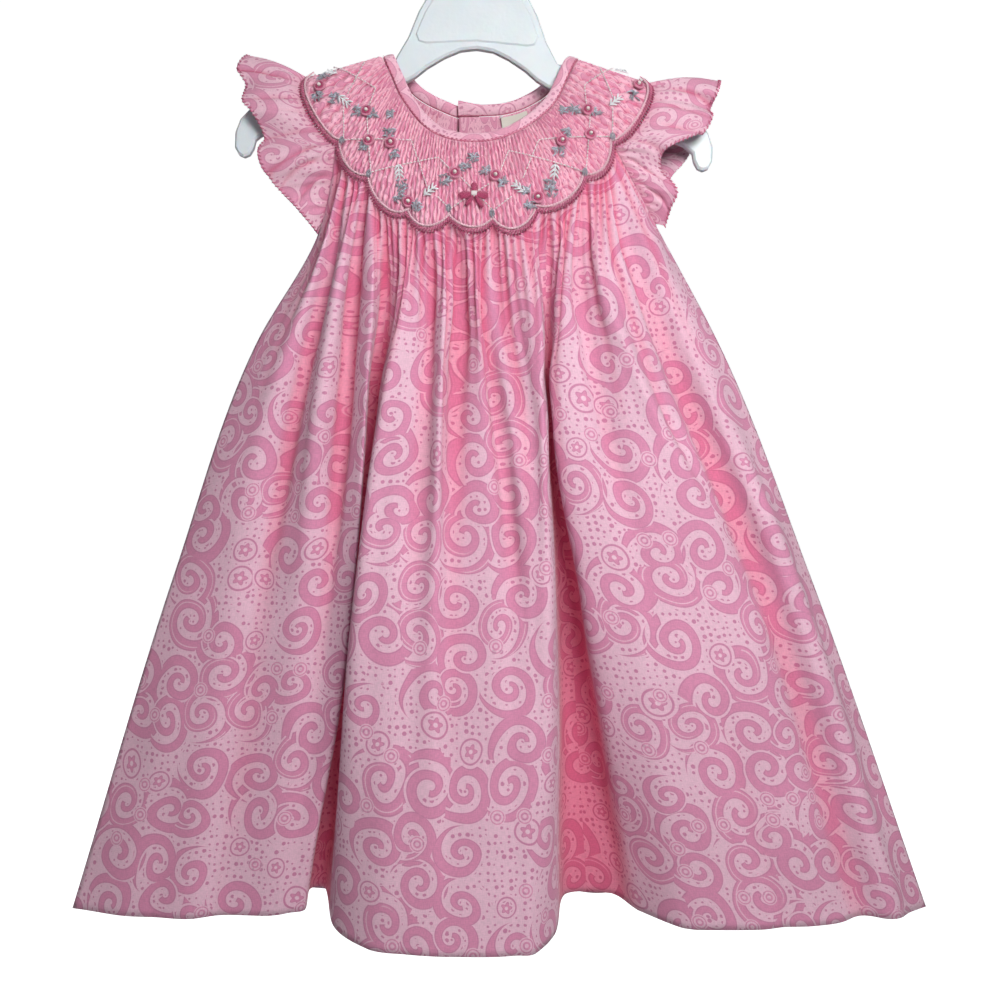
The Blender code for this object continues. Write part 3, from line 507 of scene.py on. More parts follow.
def yoke_cloth(name, yoke, pleats_per_scallop, plain_from=None):
    """Rounded pleats stand on the outer face. Each row of stitches draws them together in other pairs."""
    pleats = yoke.length * pleats_per_scallop
    along = np.linspace(0, yoke.length, pleats * COLUMNS_PER_PLEAT + 1)
    down = np.linspace(0, 1, YOKE_ROWS)
    points = grid_of(yoke.at, along, down)
    normals = grid_of(yoke.normal, along, down)
    pleat = along[None, :] * pleats_per_scallop
    level = down[:, None]
    sway = 0.23 * np.sin(np.pi * pleat) * np.cos(np.pi * SMOCKING_ROWS * level + 0.9 * np.sin(0.37 * pleat))
    sway = sway + 0.22 * np.sin(0.9 * pleat + 5.0 * level) * np.sin(7.0 * level + 0.23 * pleat)
    sway = sway * np.clip(level * 8, 0, 1) * np.clip((1 - level) * 8, 0, 1)
    ridge = (0.5 - 0.5 * np.cos(2 * np.pi * (pleat + sway))) ** 0.5
    taken = 1.0 - 0.16 * (0.5 + 0.5 * np.cos(2 * np.pi * SMOCKING_ROWS * level))
    ends = np.minimum(1.0, np.minimum(along, yoke.length - along) * 6)[None, :]
    shown = np.clip((CORD_STARTS - level) / 0.02, 0.25, 1) * np.clip(level / 0.03, 0.35, 1)
    if plain_from is not None:
        shown = shown * np.clip((plain_from - along) * 20, 0, 1)[None, :]
    outer = points + normals * (PLEAT_RISE * ridge * taken * ends * shown)[..., None]
    inner = points - normals * WALL
    # Painted shade: the valleys between the pleats are darkened in colour.
    painted_shade = 0.85 * np.clip(1.0 - ridge * 1.6, 0, 1) * ends * np.clip(shown * 1.2, 0, 1)
    arc = np.concatenate([[0], np.cumsum(np.linalg.norm(np.diff(points[-1], axis=0), axis=1))])
    depth = np.linalg.norm(points - points[:1], axis=-1)
    flat = np.stack([np.tile(arc * 2.6, (len(down), 1)), -depth], axis=-1)
    made = cloth(name + "_cloth", outer, inner, flat, SMOCKED, {"painted_shade": painted_shade})
    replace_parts(made, name)
    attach(made, "root")
    return made


front_yoke = Yoke(YOKE_FRONT, FRONT_DROPS, -1.0)
left_yoke = Yoke(YOKE_BACK_LEFT, BACK_DROPS, 1.0)
right_yoke = Yoke(YOKE_BACK_RIGHT, BACK_DROPS, 1.0)
yoke_cloth("yoke_front", front_yoke, PLEATS_PER_SCALLOP)
yoke_cloth("yoke_back_left", left_yoke, BACK_PLEATS_PER_SCALLOP, PLAIN_FROM)
yoke_cloth("yoke_back_right", right_yoke, BACK_PLEATS_PER_SCALLOP, PLAIN_FROM)


# Skirt: two straight widths of the printed cotton, a front and a back that opens down its middle.
# Gathers run out of the smocking, and the cloth then hangs in a few deep folds to a plain hem.
HEM_Z = -630.0
UNDERARM = 0.1
LEVELS = (0.0, UNDERARM, 0.25, 0.55, 1.0)
# name, along the yoke's scallops, x at the four lower levels, y at the four lower levels, hem lift
SKIRT_FRONT = (
    ("seam_left", 1.0, -99, -138, -188, -252, -1, 0, 1, 2, 0),
    ("panel_left", 1.28, -95, -118, -158, -196, -16, -18, -16, -14, 0),
    ("crease_1", 1.52, -88, -105, -130, -158, -16, -13, -13, -10, 1),
    ("ridge_1", 1.75, -81, -91, -107, -129, -24, -26, -22, -12, 1),
    ("crease_2", 2.0, -75, -80, -91, -116, -16, -16, -19, -10, 2),
    ("left_fold", 2.2, -63, -66, -75, -107, -27, -31, -27, -5, 2),
    ("gap_left", 2.45, -59, -67, -79, -109, -17, -8, 2, 17, 6),
    ("gap_right", 2.65, -54, -61, -73, -99, -17, -9, 1, 18, 6),
    ("centre_fold", 3.0, -47, -58, -73, -86, -29, -36, -44, -30, 3),
    ("centre_shoulder", 3.3, -40, -48, -58, -62, -27, -37, -50, -54, 0),
    ("pleat_1", 3.6, -30, -34, -40, -41, -21, -31, -51, -60, 0),
    ("ridge_2", 3.9, -21, -23, -26, -25, -30, -40, -53, -62, 0),
    ("pleat_2", 4.2, -12, -15, -16, -14, -20, -28, -46, -62, 0),
    ("ridge_3", 4.6, -2, 3, 7, 8, -29, -35, -50, -62, 0),
    ("crease_3", 4.85, 4, 13, 18, 20, -24, -31, -47, -61, 0),
    ("pleat_3", 5.28, 18, 26, 30, 31, -25, -34, -49, -59, 0),
    ("centre_edge", 5.84, 33, 36, 41, 43, -30, -37, -47, -38, 2),
    ("recess_left", 6.1, 36, 39, 47, 51, -17, -14, -5, 6, 7),
    ("recess_right", 6.3, 41, 42, 58, 80, -17, -14, -5, 7, 7),
    ("right_fold", 6.52, 46, 41, 60, 95, -29, -34, -34, -6, 2),
    ("right_shoulder", 6.75, 53, 57, 81, 118, -27, -35, -40, -26, 0),
    ("pleat_4", 6.95, 59, 68, 96, 139, -20, -29, -38, -29, 0),
    ("ridge_4", 7.2, 68, 79, 112, 169, -27, -34, -39, -28, 0),
    ("ridge_5", 7.5, 78, 98, 146, 205, -26, -32, -34, -24, 1),
    ("pleat_5", 7.7, 88, 112, 166, 227, -16, -15, -20, -17, 2),
    ("ridge_6", 7.85, 99, 127, 182, 247, -19, -19, -20, -15, 2),
    ("seam_right", 8.0, 108, 145, 200, 273, -1, 0, 1, 2, 1),
)
SKIRT_BACK_LEFT = (
    ("seam_left", 1.0, -99, -138, -188, -252, 1.8, 2.8, 3.8, 4.8, 0),
    ("side_ridge", 1.3, -94, -124, -168, -222, 14, 15, 17, 18, 0),
    ("side_crease", 1.6, -86, -111, -150, -192, 17, 15, 14, 13, 1),
    ("ridge_a", 2.0, -76, -98, -130, -165, 24, 27, 29, 28, 0),
    ("crease_a", 2.4, -66, -85, -112, -141, 21, 21, 22, 22, 0),
    ("ridge_b", 2.8, -54, -71, -93, -114, 26, 30, 33, 33, 1),
    ("crease_b", 3.1, -43, -56, -72, -86, 24, 27, 29, 29, 1),
    ("ridge_c", 3.4, -32, -41, -51, -59, 28, 33, 36, 36, 0),
    ("crease_c", 3.65, -19, -25, -29, -31, 25, 26, 27, 28, 0),
    ("centre", 3.85, -8.3, -7.3, -4.5, -2.5, 28, 31, 32, 33, 0),
)
SKIRT_BACK_RIGHT = (
    ("seam_right", 1.0, 108, 145, 200, 273, 1.8, 2.8, 3.8, 4.8, 1),
    ("side_ridge", 1.35, 96, 130, 178, 240, 14, 15, 17, 18, 1),
    ("side_crease", 1.65, 86, 114, 156, 207, 18, 16, 16, 15, 0),
    ("ridge_d", 2.0, 75, 98, 133, 172, 25, 28, 31, 31, 0),
    ("crease_d", 2.35, 63, 80, 108, 139, 21, 20, 21, 22, 1),
    ("ridge_e", 2.75, 49, 63, 84, 105, 26, 30, 34, 35, 1),
    ("crease_e", 3.1, 36, 47, 61, 74, 23, 24, 25, 26, 0),
    ("ridge_f", 3.5, 21, 28, 36, 43, 27, 31, 35, 36, 0),
    ("centre", 3.85, -8.4, -7.4, -4.6, -2.6, 28, 31, 32, 33, 0),
)
GATHER_DEPTH = 4.4                   # the valleys between the gathers, where they leave the smocking
# Soft creases drawn one by one: fold at the top and at the bottom, drop at both, depth, half width
FRONT_CREASES = (
    (2.0, 2.0, 0.01, 0.62, -4.0, 4.5),
    (2.9, 2.9, 0.02, 0.55, 2.0, 6.0),
    (4.0, 4.0, 0.01, 0.66, -4.0, 4.5),
    (0.9, 1.0, 0.25, 1.4, -2.5, 12.0),
    (1.5, 1.6, 0.30, 1.4, 2.0, 10.0),
    (9.6, 9.4, 0.00, 0.60, 1.5, 7.0),
    (10.3, 10.1, 0.20, 0.95, -2.0, 8.0),
    (11.9, 12.2, 0.02, 0.45, -2.0, 5.0),
    (13.2, 14.5, 0.12, 0.60, -4.0, 4.5),
    (13.9, 15.3, 0.12, 0.62, 2.2, 7.0),
    (15.2, 15.2, 0.04, 0.50, -2.0, 5.0),
    (20.3, 21.0, 0.02, 0.50, -2.2, 5.0),
    (21.9, 23.0, 0.02, 0.48, 2.8, 5.0),
    (22.25, 23.45, 0.02, 0.50, -3.4, 4.5),
    (24.0, 24.0, 0.10, 1.4, -4.5, 10.0),
    (25.0, 25.0, 0.15, 1.4, 4.0, 9.0),
    (22.2, 22.3, 0.50, 1.4, -2.0, 10.0),
)
SEAM_REACH = 1.3                     # how many folds of a back panel are drawn to the side seam
SEAM_STEP = 1.8                      # the back panel's edge stands this far behind the front one's
BACK_CREASES = (
    (2.1, 2.3, 0.02, 0.60, -3.4, 4.5),
    (2.9, 3.1, 0.05, 0.50, 2.0, 6.0),
    (4.4, 4.2, 0.20, 1.4, -2.4, 8.0),
    (5.2, 5.0, 0.02, 0.55, -2.6, 5.0),
    (6.3, 6.4, 0.03, 0.50, -3.0, 4.5),
)


class Skirt:
    """A skirt panel that hangs from a yoke's scallops in the folds of its table.

    A back panel is sewn along its first fold to a front one, joined, at that panel's own fold.
    """

    def __init__(self, table, yoke, joined=None, joined_fold=0.0):
        self.yoke = yoke
        self.joined = joined
        self.joined_fold = joined_fold
        self.along = np.array([row[1] for row in table], dtype=float)
        self.x = np.array([row[2:6] for row in table], dtype=float)
        self.y = np.array([row[6:10] for row in table], dtype=float)
        self.lift = np.array([row[10] for row in table], dtype=float)
        self.last = len(table) - 1

    def at(self, fold, drop):
        """Points of the plain outer surface; fold counts table rows, drop runs from 0 at the yoke to 1 at the hem."""
        fold = np.clip(np.atleast_1d(fold).astype(float), 0, self.last)
        drop = np.atleast_1d(drop).astype(float)
        rows = np.arange(self.last + 1)
        along = np.interp(fold, rows, self.along)
        top = self.yoke.edge_at(along) + 2 * SEAM_GAP * self.yoke.down_at(along)
        x_levels = np.vstack([top[:, 0], through(rows, self.x, fold).T])
        y_levels = np.vstack([top[:, 1], through(rows, self.y, fold).T])
        points = np.empty((len(fold), 3))
        points[:, 0] = through(LEVELS, x_levels, drop, own_column=True)
        points[:, 1] = through(LEVELS, y_levels, drop, own_column=True)
        hem = HEM_Z + np.interp(fold, rows, self.lift)
        points[:, 2] = top[:, 2] + (hem - top[:, 2]) * drop
        if self.joined is not None and fold.min() < SEAM_REACH:
            own_seam = np.stack([through(LEVELS, np.concatenate([self.yoke.edge_at(self.along[0])[0, :1], self.x[0]]), drop),
                                 through(LEVELS, np.concatenate([self.yoke.edge_at(self.along[0])[0, 1:2], self.y[0]]), drop)],
                                axis=-1)
            high = self.joined.at(self.joined_fold, 0.0)[0, 2]
            seam = self.joined.at(np.full(len(drop), self.joined_fold),
                                  np.clip((points[:, 2] - high) / (HEM_Z - high), 0, 1))
            share = np.clip(1 - fold / SEAM_REACH, 0, 1) ** 2 * np.clip(drop / 0.04, 0, 1)
            points[:, :2] += (seam[:, :2] + (0.0, SEAM_STEP) - own_seam) * share[:, None]
        return points

    def normal(self, fold, drop):
        """Unit normals pointing out of the garment; at the yoke's edge they are the yoke's own."""
        fold = np.atleast_1d(fold).astype(float)
        drop = np.atleast_1d(drop).astype(float)
        across = self.at(fold + 0.06, drop) - self.at(fold - 0.06, drop)
        down = self.at(fold, np.clip(drop + 0.02, 0, 1)) - self.at(fold, np.clip(drop - 0.02, 0, 1))
        normals = unit(np.cross(across, down))
        if (np.sum(normals[:, 1]) * self.yoke.outward) < 0:
            normals = -normals
        along = np.interp(np.clip(fold, 0, self.last), np.arange(self.last + 1), self.along)
        own = np.clip(drop / 0.05, 0, 1)[:, None]
        return unit(normals * own + self.yoke.normal(along, np.ones_like(along)) * (1 - own))


def ridge_along(width_at, points_across, centre, half, low, high, drop):
    """A soft ridge round a line down the cloth, between two drops, as a share from 0 to 1."""
    reach = np.clip((drop - low) / max(0.3 * (high - low), 1e-6), 0, 1) * np.clip((high - drop) / (0.4 * (high - low)), 0, 1)
    reach = reach * reach * (3 - 2 * reach)
    return np.exp(-((points_across - centre) / half) ** 2) * reach * width_at


def skirt_cloth(name, skirt, look, columns_per_fold, row_count, gather_step, creases, panels, seed):
    """The panel's folds from its table, with uneven gathers that fade below the smocking and soft creases."""
    chance = np.random.default_rng(seed)
    fold = np.linspace(0, skirt.last, skirt.last * columns_per_fold + 1)
    drop = np.linspace(0, 1, row_count) ** 1.2
    points = grid_of(skirt.at, fold, drop)
    normals = grid_of(skirt.normal, fold, drop)
    across = np.concatenate([np.zeros((row_count, 1)),
                             np.cumsum(np.linalg.norm(np.diff(points[..., :2], axis=1), axis=2), axis=1)], axis=1)
    below = points[:1, :, 2] - points[..., 2]
    relief = np.zeros(points.shape[:2])
    span = skirt.along[-1] - skirt.along[0]
    count = int(span / gather_step)
    starts = skirt.along[0] + (np.arange(count) + 0.5 + chance.uniform(-0.36, 0.36, count)) * span / count
    valley = np.zeros(points.shape[:2])
    for start in starts:
        own_fold = np.interp(start, skirt.along, np.arange(skirt.last + 1))
        centre = np.array([np.interp(own_fold, fold, row) for row in across])[:, None]
        centre = centre + below * chance.uniform(-0.05, 0.05)
        length = chance.choice((chance.uniform(34, 58), chance.uniform(95, 150)), p=(0.66, 0.34))
        strength = chance.uniform(0.7, 1.0) * np.exp(-(below / length) ** 1.5)
        half = 1.15 + below * chance.uniform(0.014, 0.034)
        away = (across - centre) / half
        valley = np.maximum(valley, strength * (0.62 * np.exp(-away**2) + 0.38 * np.exp(-(away / 2.4) ** 2)))
    relief += 0.9 * np.exp(-(below / 80.0) ** 1.5) - GATHER_DEPTH * valley
    for top, bottom, low, high, depth, half in creases:
        share = np.clip((drop - low) / (high - low), 0, 1)
        line = top + (bottom - top) * share
        centre = np.array([np.interp(at, fold, row) for at, row in zip(line, across)])[:, None]
        relief += depth * ridge_along(1.0, across, centre, half, low, high, drop[:, None])
    for _ in range(7):
        length, tilt = chance.uniform(45, 110), chance.uniform(-0.25, 0.25)
        relief += 0.28 * np.sin(2 * np.pi * (across + tilt * below) / length + chance.uniform(0, 6)) \
            * np.sin(2 * np.pi * below / chance.uniform(150, 320) + chance.uniform(0, 6))
    edges = np.clip(fold * 2, 0, 1) * np.clip((skirt.last - fold) * 2, 0, 1)
    relief = relief * edges[None, :] * np.clip(drop / 0.01, 0.3, 1)[:, None]
    outer = points + normals * relief[..., None]
    inner = outer - normals * WALL
    # Painted shade: the colour is darkened where the cloth lies behind its neighbours across the panel and in the
    # valleys of the gathers, fading out near the side seams.
    ahead = outer[..., 1] * skirt.yoke.outward
    painted_shade = np.zeros(relief.shape)
    for share, slack, reach, weight in ((0.35, 0.4, 3.0, 0.55), (1.1, 1.2, 7.0, 0.75), (2.8, 2.0, 14.0, 1.0)):
        side = round(share * columns_per_fold)
        near = np.array([np.convolve(np.pad(row, side, mode="edge"), np.ones(2 * side + 1) / (2 * side + 1), "valid")
                         for row in ahead])
        painted_shade = np.maximum(painted_shade, weight * np.clip((near - ahead - slack) / reach, 0, 1))
    painted_shade = painted_shade * (np.clip(fold / 1.3, 0, 1) * np.clip((skirt.last - fold) / 1.3, 0, 1))[None, :]
    painted_shade = np.maximum(painted_shade, np.clip(valley * 1.5 - 0.2, 0, 1))
    flats = []
    for anchor, offset in panels:
        own = np.array([np.interp(anchor, fold, row) for row in across])[:, None]
        flats.append(np.stack([across - own + offset, points[..., 2] - HEM_Z], axis=-1))
    breaks = [(round(column * columns_per_fold), flat) for column, flat in zip((6.5, 17.5), flats[1:])]
    made = cloth(name + "_cloth", outer, inner, flats[0], look, {"painted_shade": painted_shade}, breaks)
    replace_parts(made, name)
    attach(made, "root")
    return made


# The last colour is the painted shade tint, for the folds and gathers.
PRINT = printed_cotton("printed_cotton", (0.84, 0.53, 0.65, 1), (0.73, 0.285, 0.45, 1), (0.87, 0.60, 0.70, 1),
                       (0.88, 0.44, 0.52, 1))
front = Skirt(SKIRT_FRONT, front_yoke)
back_left = Skirt(SKIRT_BACK_LEFT, left_yoke, front, 0.0)
back_right = Skirt(SKIRT_BACK_RIGHT, right_yoke, front, float(front.last))
front.yoke_name, back_left.yoke_name, back_right.yoke_name = "yoke_front", "yoke_back_left", "yoke_back_right"
skirt_cloth("skirt_front", front, PRINT, 14, 118, 0.14, FRONT_CREASES, ((3.0, 0.0), (12.0, 190.0), (22.0, 420.0)), 4)
skirt_cloth("skirt_back_left", back_left, PRINT, 14, 110, 0.16, BACK_CREASES, ((4.0, 700.0),), 11)
skirt_cloth("skirt_back_right", back_right, PRINT, 14, 110, 0.16, BACK_CREASES, ((4.0, 900.0),), 12)


# Sleeves: short flutter sleeves of the same cotton, gathered into the smocking over the shoulder.
# Their edges are rolled and whipped with deep pink thread.
SLEEVE_LEFT = (
    (0.08, -101.0, -3.5, -215.0),
    (0.35, -113.4, -10.0, -201.0),
    (0.55, -122.0, -8.5, -192.0),
    (0.80, -131.0, -17.0, -181.0),
    (1.00, -134.0, -15.0, -170.0),
    (1.20, -131.5, -9.5, -160.0),
    (1.45, -138.0, -14.0, -146.0),
    (1.62, -144.0, -12.0, -138.5),
    (1.76, -143.5, -5.0, -126.0),
    (1.88, -149.0, -8.0, -117.5),
    (2.00, -145.0, 0.0, -106.5),
    (2.20, -146.0, 8.0, -116.0),
    (2.45, -141.0, 13.5, -132.0),
    (2.70, -136.0, 9.0, -146.0),
    (2.95, -132.0, 16.0, -161.0),
    (3.25, -126.0, 14.0, -177.0),
    (3.50, -119.0, 9.0, -189.0),
    (3.72, -112.0, 10.5, -200.0),
    (3.92, -101.0, 4.3, -215.0),
)
SLEEVE_RIGHT = (
    (0.08, 111.5, -3.5, -212.0),
    (0.35, 114.0, -10.0, -203.0),
    (0.60, 117.0, -14.0, -193.0),
    (0.82, 108.0, -9.0, -179.0),
    (1.00, 110.0, -17.0, -170.0),
    (1.20, 128.0, -18.0, -161.6),
    (1.38, 134.7, -15.0, -157.5),
    (1.55, 138.4, -14.0, -149.0),
    (1.70, 138.5, -6.5, -142.5),
    (1.85, 142.5, -10.0, -133.5),
    (2.00, 146.4, 0.0, -122.5),
    (2.20, 144.0, 9.0, -131.0),
    (2.45, 138.0, 13.5, -146.0),
    (2.75, 130.0, 12.0, -162.0),
    (3.00, 124.0, 10.0, -170.5),
    (3.25, 117.5, 12.0, -178.0),
    (3.55, 116.0, 9.0, -190.0),
    (3.75, 111.0, 7.0, -199.0),
    (3.92, 111.0, 4.3, -208.5),
)
# Creases: turn at the cord and at the hem, how far out they run, depth, half width
LEFT_CREASES = (
    (1.84, 1.87, 0.05, 1.5, -2.8, 2.6), (1.62, 1.60, 0.0, 0.9, -1.4, 2.2), (1.27, 1.17, 0.0, 1.5, -1.5, 2.4),
    (1.10, 0.70, 0.0, 1.4, -2.0, 2.4), (0.92, 0.55, 0.0, 1.0, -1.7, 2.2), (0.70, 0.30, 0.0, 1.0, -1.5, 2.2),
    (2.20, 2.30, 0.0, 1.2, -2.6, 2.6), (2.65, 2.75, 0.1, 1.4, -2.8, 2.6), (3.10, 3.25, 0.0, 1.0, -2.4, 2.4),
)
RIGHT_CREASES = (
    (1.88, 1.74, 0.05, 1.5, -2.8, 2.6), (1.66, 1.50, 0.0, 1.0, -1.5, 2.2), (1.42, 1.30, 0.1, 1.4, -1.8, 2.4),
    (1.18, 0.95, 0.0, 1.3, -1.9, 2.4), (0.90, 0.62, 0.0, 1.1, -1.7, 2.2), (0.60, 0.30, 0.0, 1.0, -1.5, 2.2),
    (2.25, 2.30, 0.0, 1.2, -2.6, 2.6), (2.60, 2.70, 0.1, 1.4, -2.8, 2.6), (3.10, 3.20, 0.0, 1.0, -2.4, 2.4),
)
SLEEVE_PUFF = 3.0
SLEEVE_GATHERS = 46


class Sleeve:
    """A flutter sleeve set round the armhole: raglan seam, shoulder scallop, and the same behind."""

    def __init__(self, table, front, back, left):
        table = np.asarray(table, dtype=float)
        self.round = table[:, 0]
        self.hem = table[:, 1:4]
        self.front = front
        self.back = back
        self.left = left

    def root(self, turn):
        """Points of the armhole, and the outward normals of the pieces that they lie on."""
        points = []
        normals = []
        for r in turn:
            if r < 1.0 or r > 3.0:
                skirt = self.front if r < 1.0 else self.back
                fold = 0.0 if (self.left or r > 3.0) else float(skirt.last)
                drop = UNDERARM * ((1.0 - r) if r < 1.0 else (r - 3.0))
                point = skirt.at(fold, drop)[0]
                normal = skirt.normal(fold, drop)[0]
                away = np.array([-1.0 if self.left else 1.0, 0.0, 0.0])
            else:
                yoke = (self.front if r < 2.0 else self.back).yoke
                if r < 2.0:
                    along = (2.0 - r) if self.left else (yoke.length - 2.0 + r)
                else:
                    along = r - 2.0
                point = yoke.edge_at(along)[0]
                normal = yoke.normal(along, 1.0)[0]
                away = yoke.down_at(along)[0]
            away = away - normal * np.dot(away, normal)
            points.append(point + unit(away) * 2 * SEAM_GAP)
            normals.append(normal)
        return np.array(points), np.array(normals)

    def at(self, turn, out, root=None):
        """Points of the outer surface; out runs from 0 at the armhole to 1 at the sleeve's hem."""
        base, normals = self.root(turn) if root is None else root
        hem = through(self.round, self.hem, turn)
        points = base + (hem - base) * out[:, None]
        return points + normals * (SLEEVE_PUFF * np.sin(np.pi * out) * np.sin(np.pi * turn / 4.0))[:, None]


def sleeve_cloth(name, sleeve, look, creases, columns, row_count, seed):
    """Gathers radiate from the cord and open into the flutes of the sleeve's edge."""
    chance = np.random.default_rng(seed)
    turn = np.interp(np.linspace(0, len(sleeve.round) - 1, columns), np.arange(len(sleeve.round)), sleeve.round)
    out = np.linspace(0, 1, row_count)
    root = sleeve.root(turn)
    for _ in range(16):
        root[0][1:-1] = (root[0][:-2] + root[0][2:] + 2 * root[0][1:-1]) / 4
    points = np.array([sleeve.at(turn, np.full(columns, o), root) for o in out])
    down = np.gradient(points, axis=0)
    along = np.gradient(points, axis=1)
    normals = unit(np.cross(along, down)) * (-1.0 if sleeve.left else 1.0)
    if normals[row_count // 2, columns // 2, 2] < 0:
        normals = -normals
    own = np.clip(out / 0.2, 0, 1)[:, None, None]
    normals = unit(normals * own + root[1][None] * (1 - own))
    for _ in range(30):
        normals[:, 1:-1] = unit(normals[:, :-2] + normals[:, 2:] + 2 * normals[:, 1:-1])
    arc = np.concatenate([[0], np.cumsum(np.linalg.norm(np.diff(points[0], axis=0), axis=1))])
    relief = np.zeros((row_count, columns))
    level = out[:, None]
    for number in range(SLEEVE_GATHERS):
        start = arc[-1] * (number + 0.5 + chance.uniform(-0.25, 0.25)) / SLEEVE_GATHERS
        half = (1.2 + 2.2 * level) * chance.uniform(0.7, 1.3)
        strength = chance.uniform(0.6, 1.5) * np.exp(-(level / chance.uniform(0.35, 1.1)) ** 2)
        relief += strength * np.exp(-((arc[None, :] - start) / half) ** 2)
    relief -= 0.45 * np.exp(-(level / 0.6) ** 2)
    hem_round = np.linalg.norm(np.diff(points[-1], axis=0), axis=1).sum()
    per_turn = (arc[-1] + (hem_round - arc[-1]) * level) / (turn[-1] - turn[0])
    shaded = np.zeros((row_count, columns))
    for first, last, low, high, depth, half in creases:
        away = (turn[None, :] - first - (last - first) * level) * per_turn
        relief += depth * ridge_along(1.0, away, 0.0, half * (0.7 + 0.6 * level), low, high, level)
        shaded = np.maximum(shaded, -0.25 * depth * ridge_along(1.0, away, 0.0, half * 0.42, low, high * 1.3, level))
    ends = np.clip(np.minimum(np.arange(columns), columns - 1 - np.arange(columns)) / 10.0, 0, 1)[None, :]
    roll = 0.35 * np.exp(-((level - 0.985) / 0.02) ** 2)
    relief = (relief * np.clip(level / 0.04, 0.2, 1) + roll) * ends
    outer = points + normals * relief[..., None]
    inner = outer - normals * WALL
    length = np.concatenate([np.zeros((1, columns)),
                             np.cumsum(np.linalg.norm(np.diff(points, axis=0), axis=2), axis=0)])
    wide = np.concatenate([[0], np.cumsum(np.linalg.norm(np.diff(points[row_count // 2], axis=0), axis=1))])
    flat = np.stack([np.tile(wide * 1.25, (row_count, 1)) + 1200.0 + 300.0 * seed, length], axis=-1)
    # Painted shade: the colour is darkened near the armhole, between the gathers and along the creases.
    near = np.array([np.convolve(np.pad(row, 14, mode="edge"), np.ones(29) / 29, "valid") for row in relief])
    painted_shade = np.clip(0.5 - level * 2.4, 0, 1) * 0.6 + 0.8 * np.clip((near - relief - 0.25) / 2.2, 0, 1)
    painted_shade = np.clip(np.maximum(painted_shade, shaded), 0, 0.85)
    made = cloth(name + "_cloth", outer, inner, flat, look, {"painted_shade": np.ascontiguousarray(painted_shade)})
    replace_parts(made, name)
    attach(made, "root")
    hem_wide = np.linalg.norm(np.diff(points[-1], axis=0), axis=1).sum()
    return outer[-2], normals[-2]


# The last colour is the painted shade tint, for the armhole, gathers and creases.
SLEEVE_PRINT = printed_cotton("sleeve_cotton", (0.82, 0.52, 0.62, 1), (0.72, 0.31, 0.45, 1), (0.86, 0.60, 0.69, 1),
                              (0.70, 0.22, 0.34, 1))
left_hem = sleeve_cloth("sleeve_left", Sleeve(SLEEVE_LEFT, front, back_left, True), SLEEVE_PRINT,
                        LEFT_CREASES, 460, 44, 1)
right_hem = sleeve_cloth("sleeve_right", Sleeve(SLEEVE_RIGHT, front, back_right, False), SLEEVE_PRINT,
                         RIGHT_CREASES, 460, 44, 2)


# Neck binding: a bias strip of the print, folded over the raw edge and stitched down on both sides.
# It runs round the neck from one end of the back opening to the other.
BINDING_WIDTH = 7.0
BINDING_WALL = 2.4
BINDING_CORNER = 2.8                 # the lapped end at the back is turned up by this much


def neck_seam(step):
    """Points of the neck seam from the left back end, round the front, to the right back end, with normals."""
    seam = []
    normals = []
    for yoke, reverse in ((left_yoke, True), (front_yoke, False), (right_yoke, False)):
        along = np.linspace(0, yoke.length, yoke.length * step + 1)
        if yoke is not front_yoke:
            along = along[1:]
        along = along[::-1] if reverse else along
        seam.append(yoke.neck_at(along))
        normals.append(yoke.normal(along, along * 0))
    seam = np.concatenate(seam)
    normals = np.concatenate(normals)
    for _ in range(6):
        normals[1:-1] = unit(normals[:-2] + normals[2:] + 2 * normals[1:-1])
    upward = unit(np.cross(unit(np.gradient(seam, axis=0)), normals))
    return seam, normals, upward * np.sign(upward[:, 2:3])


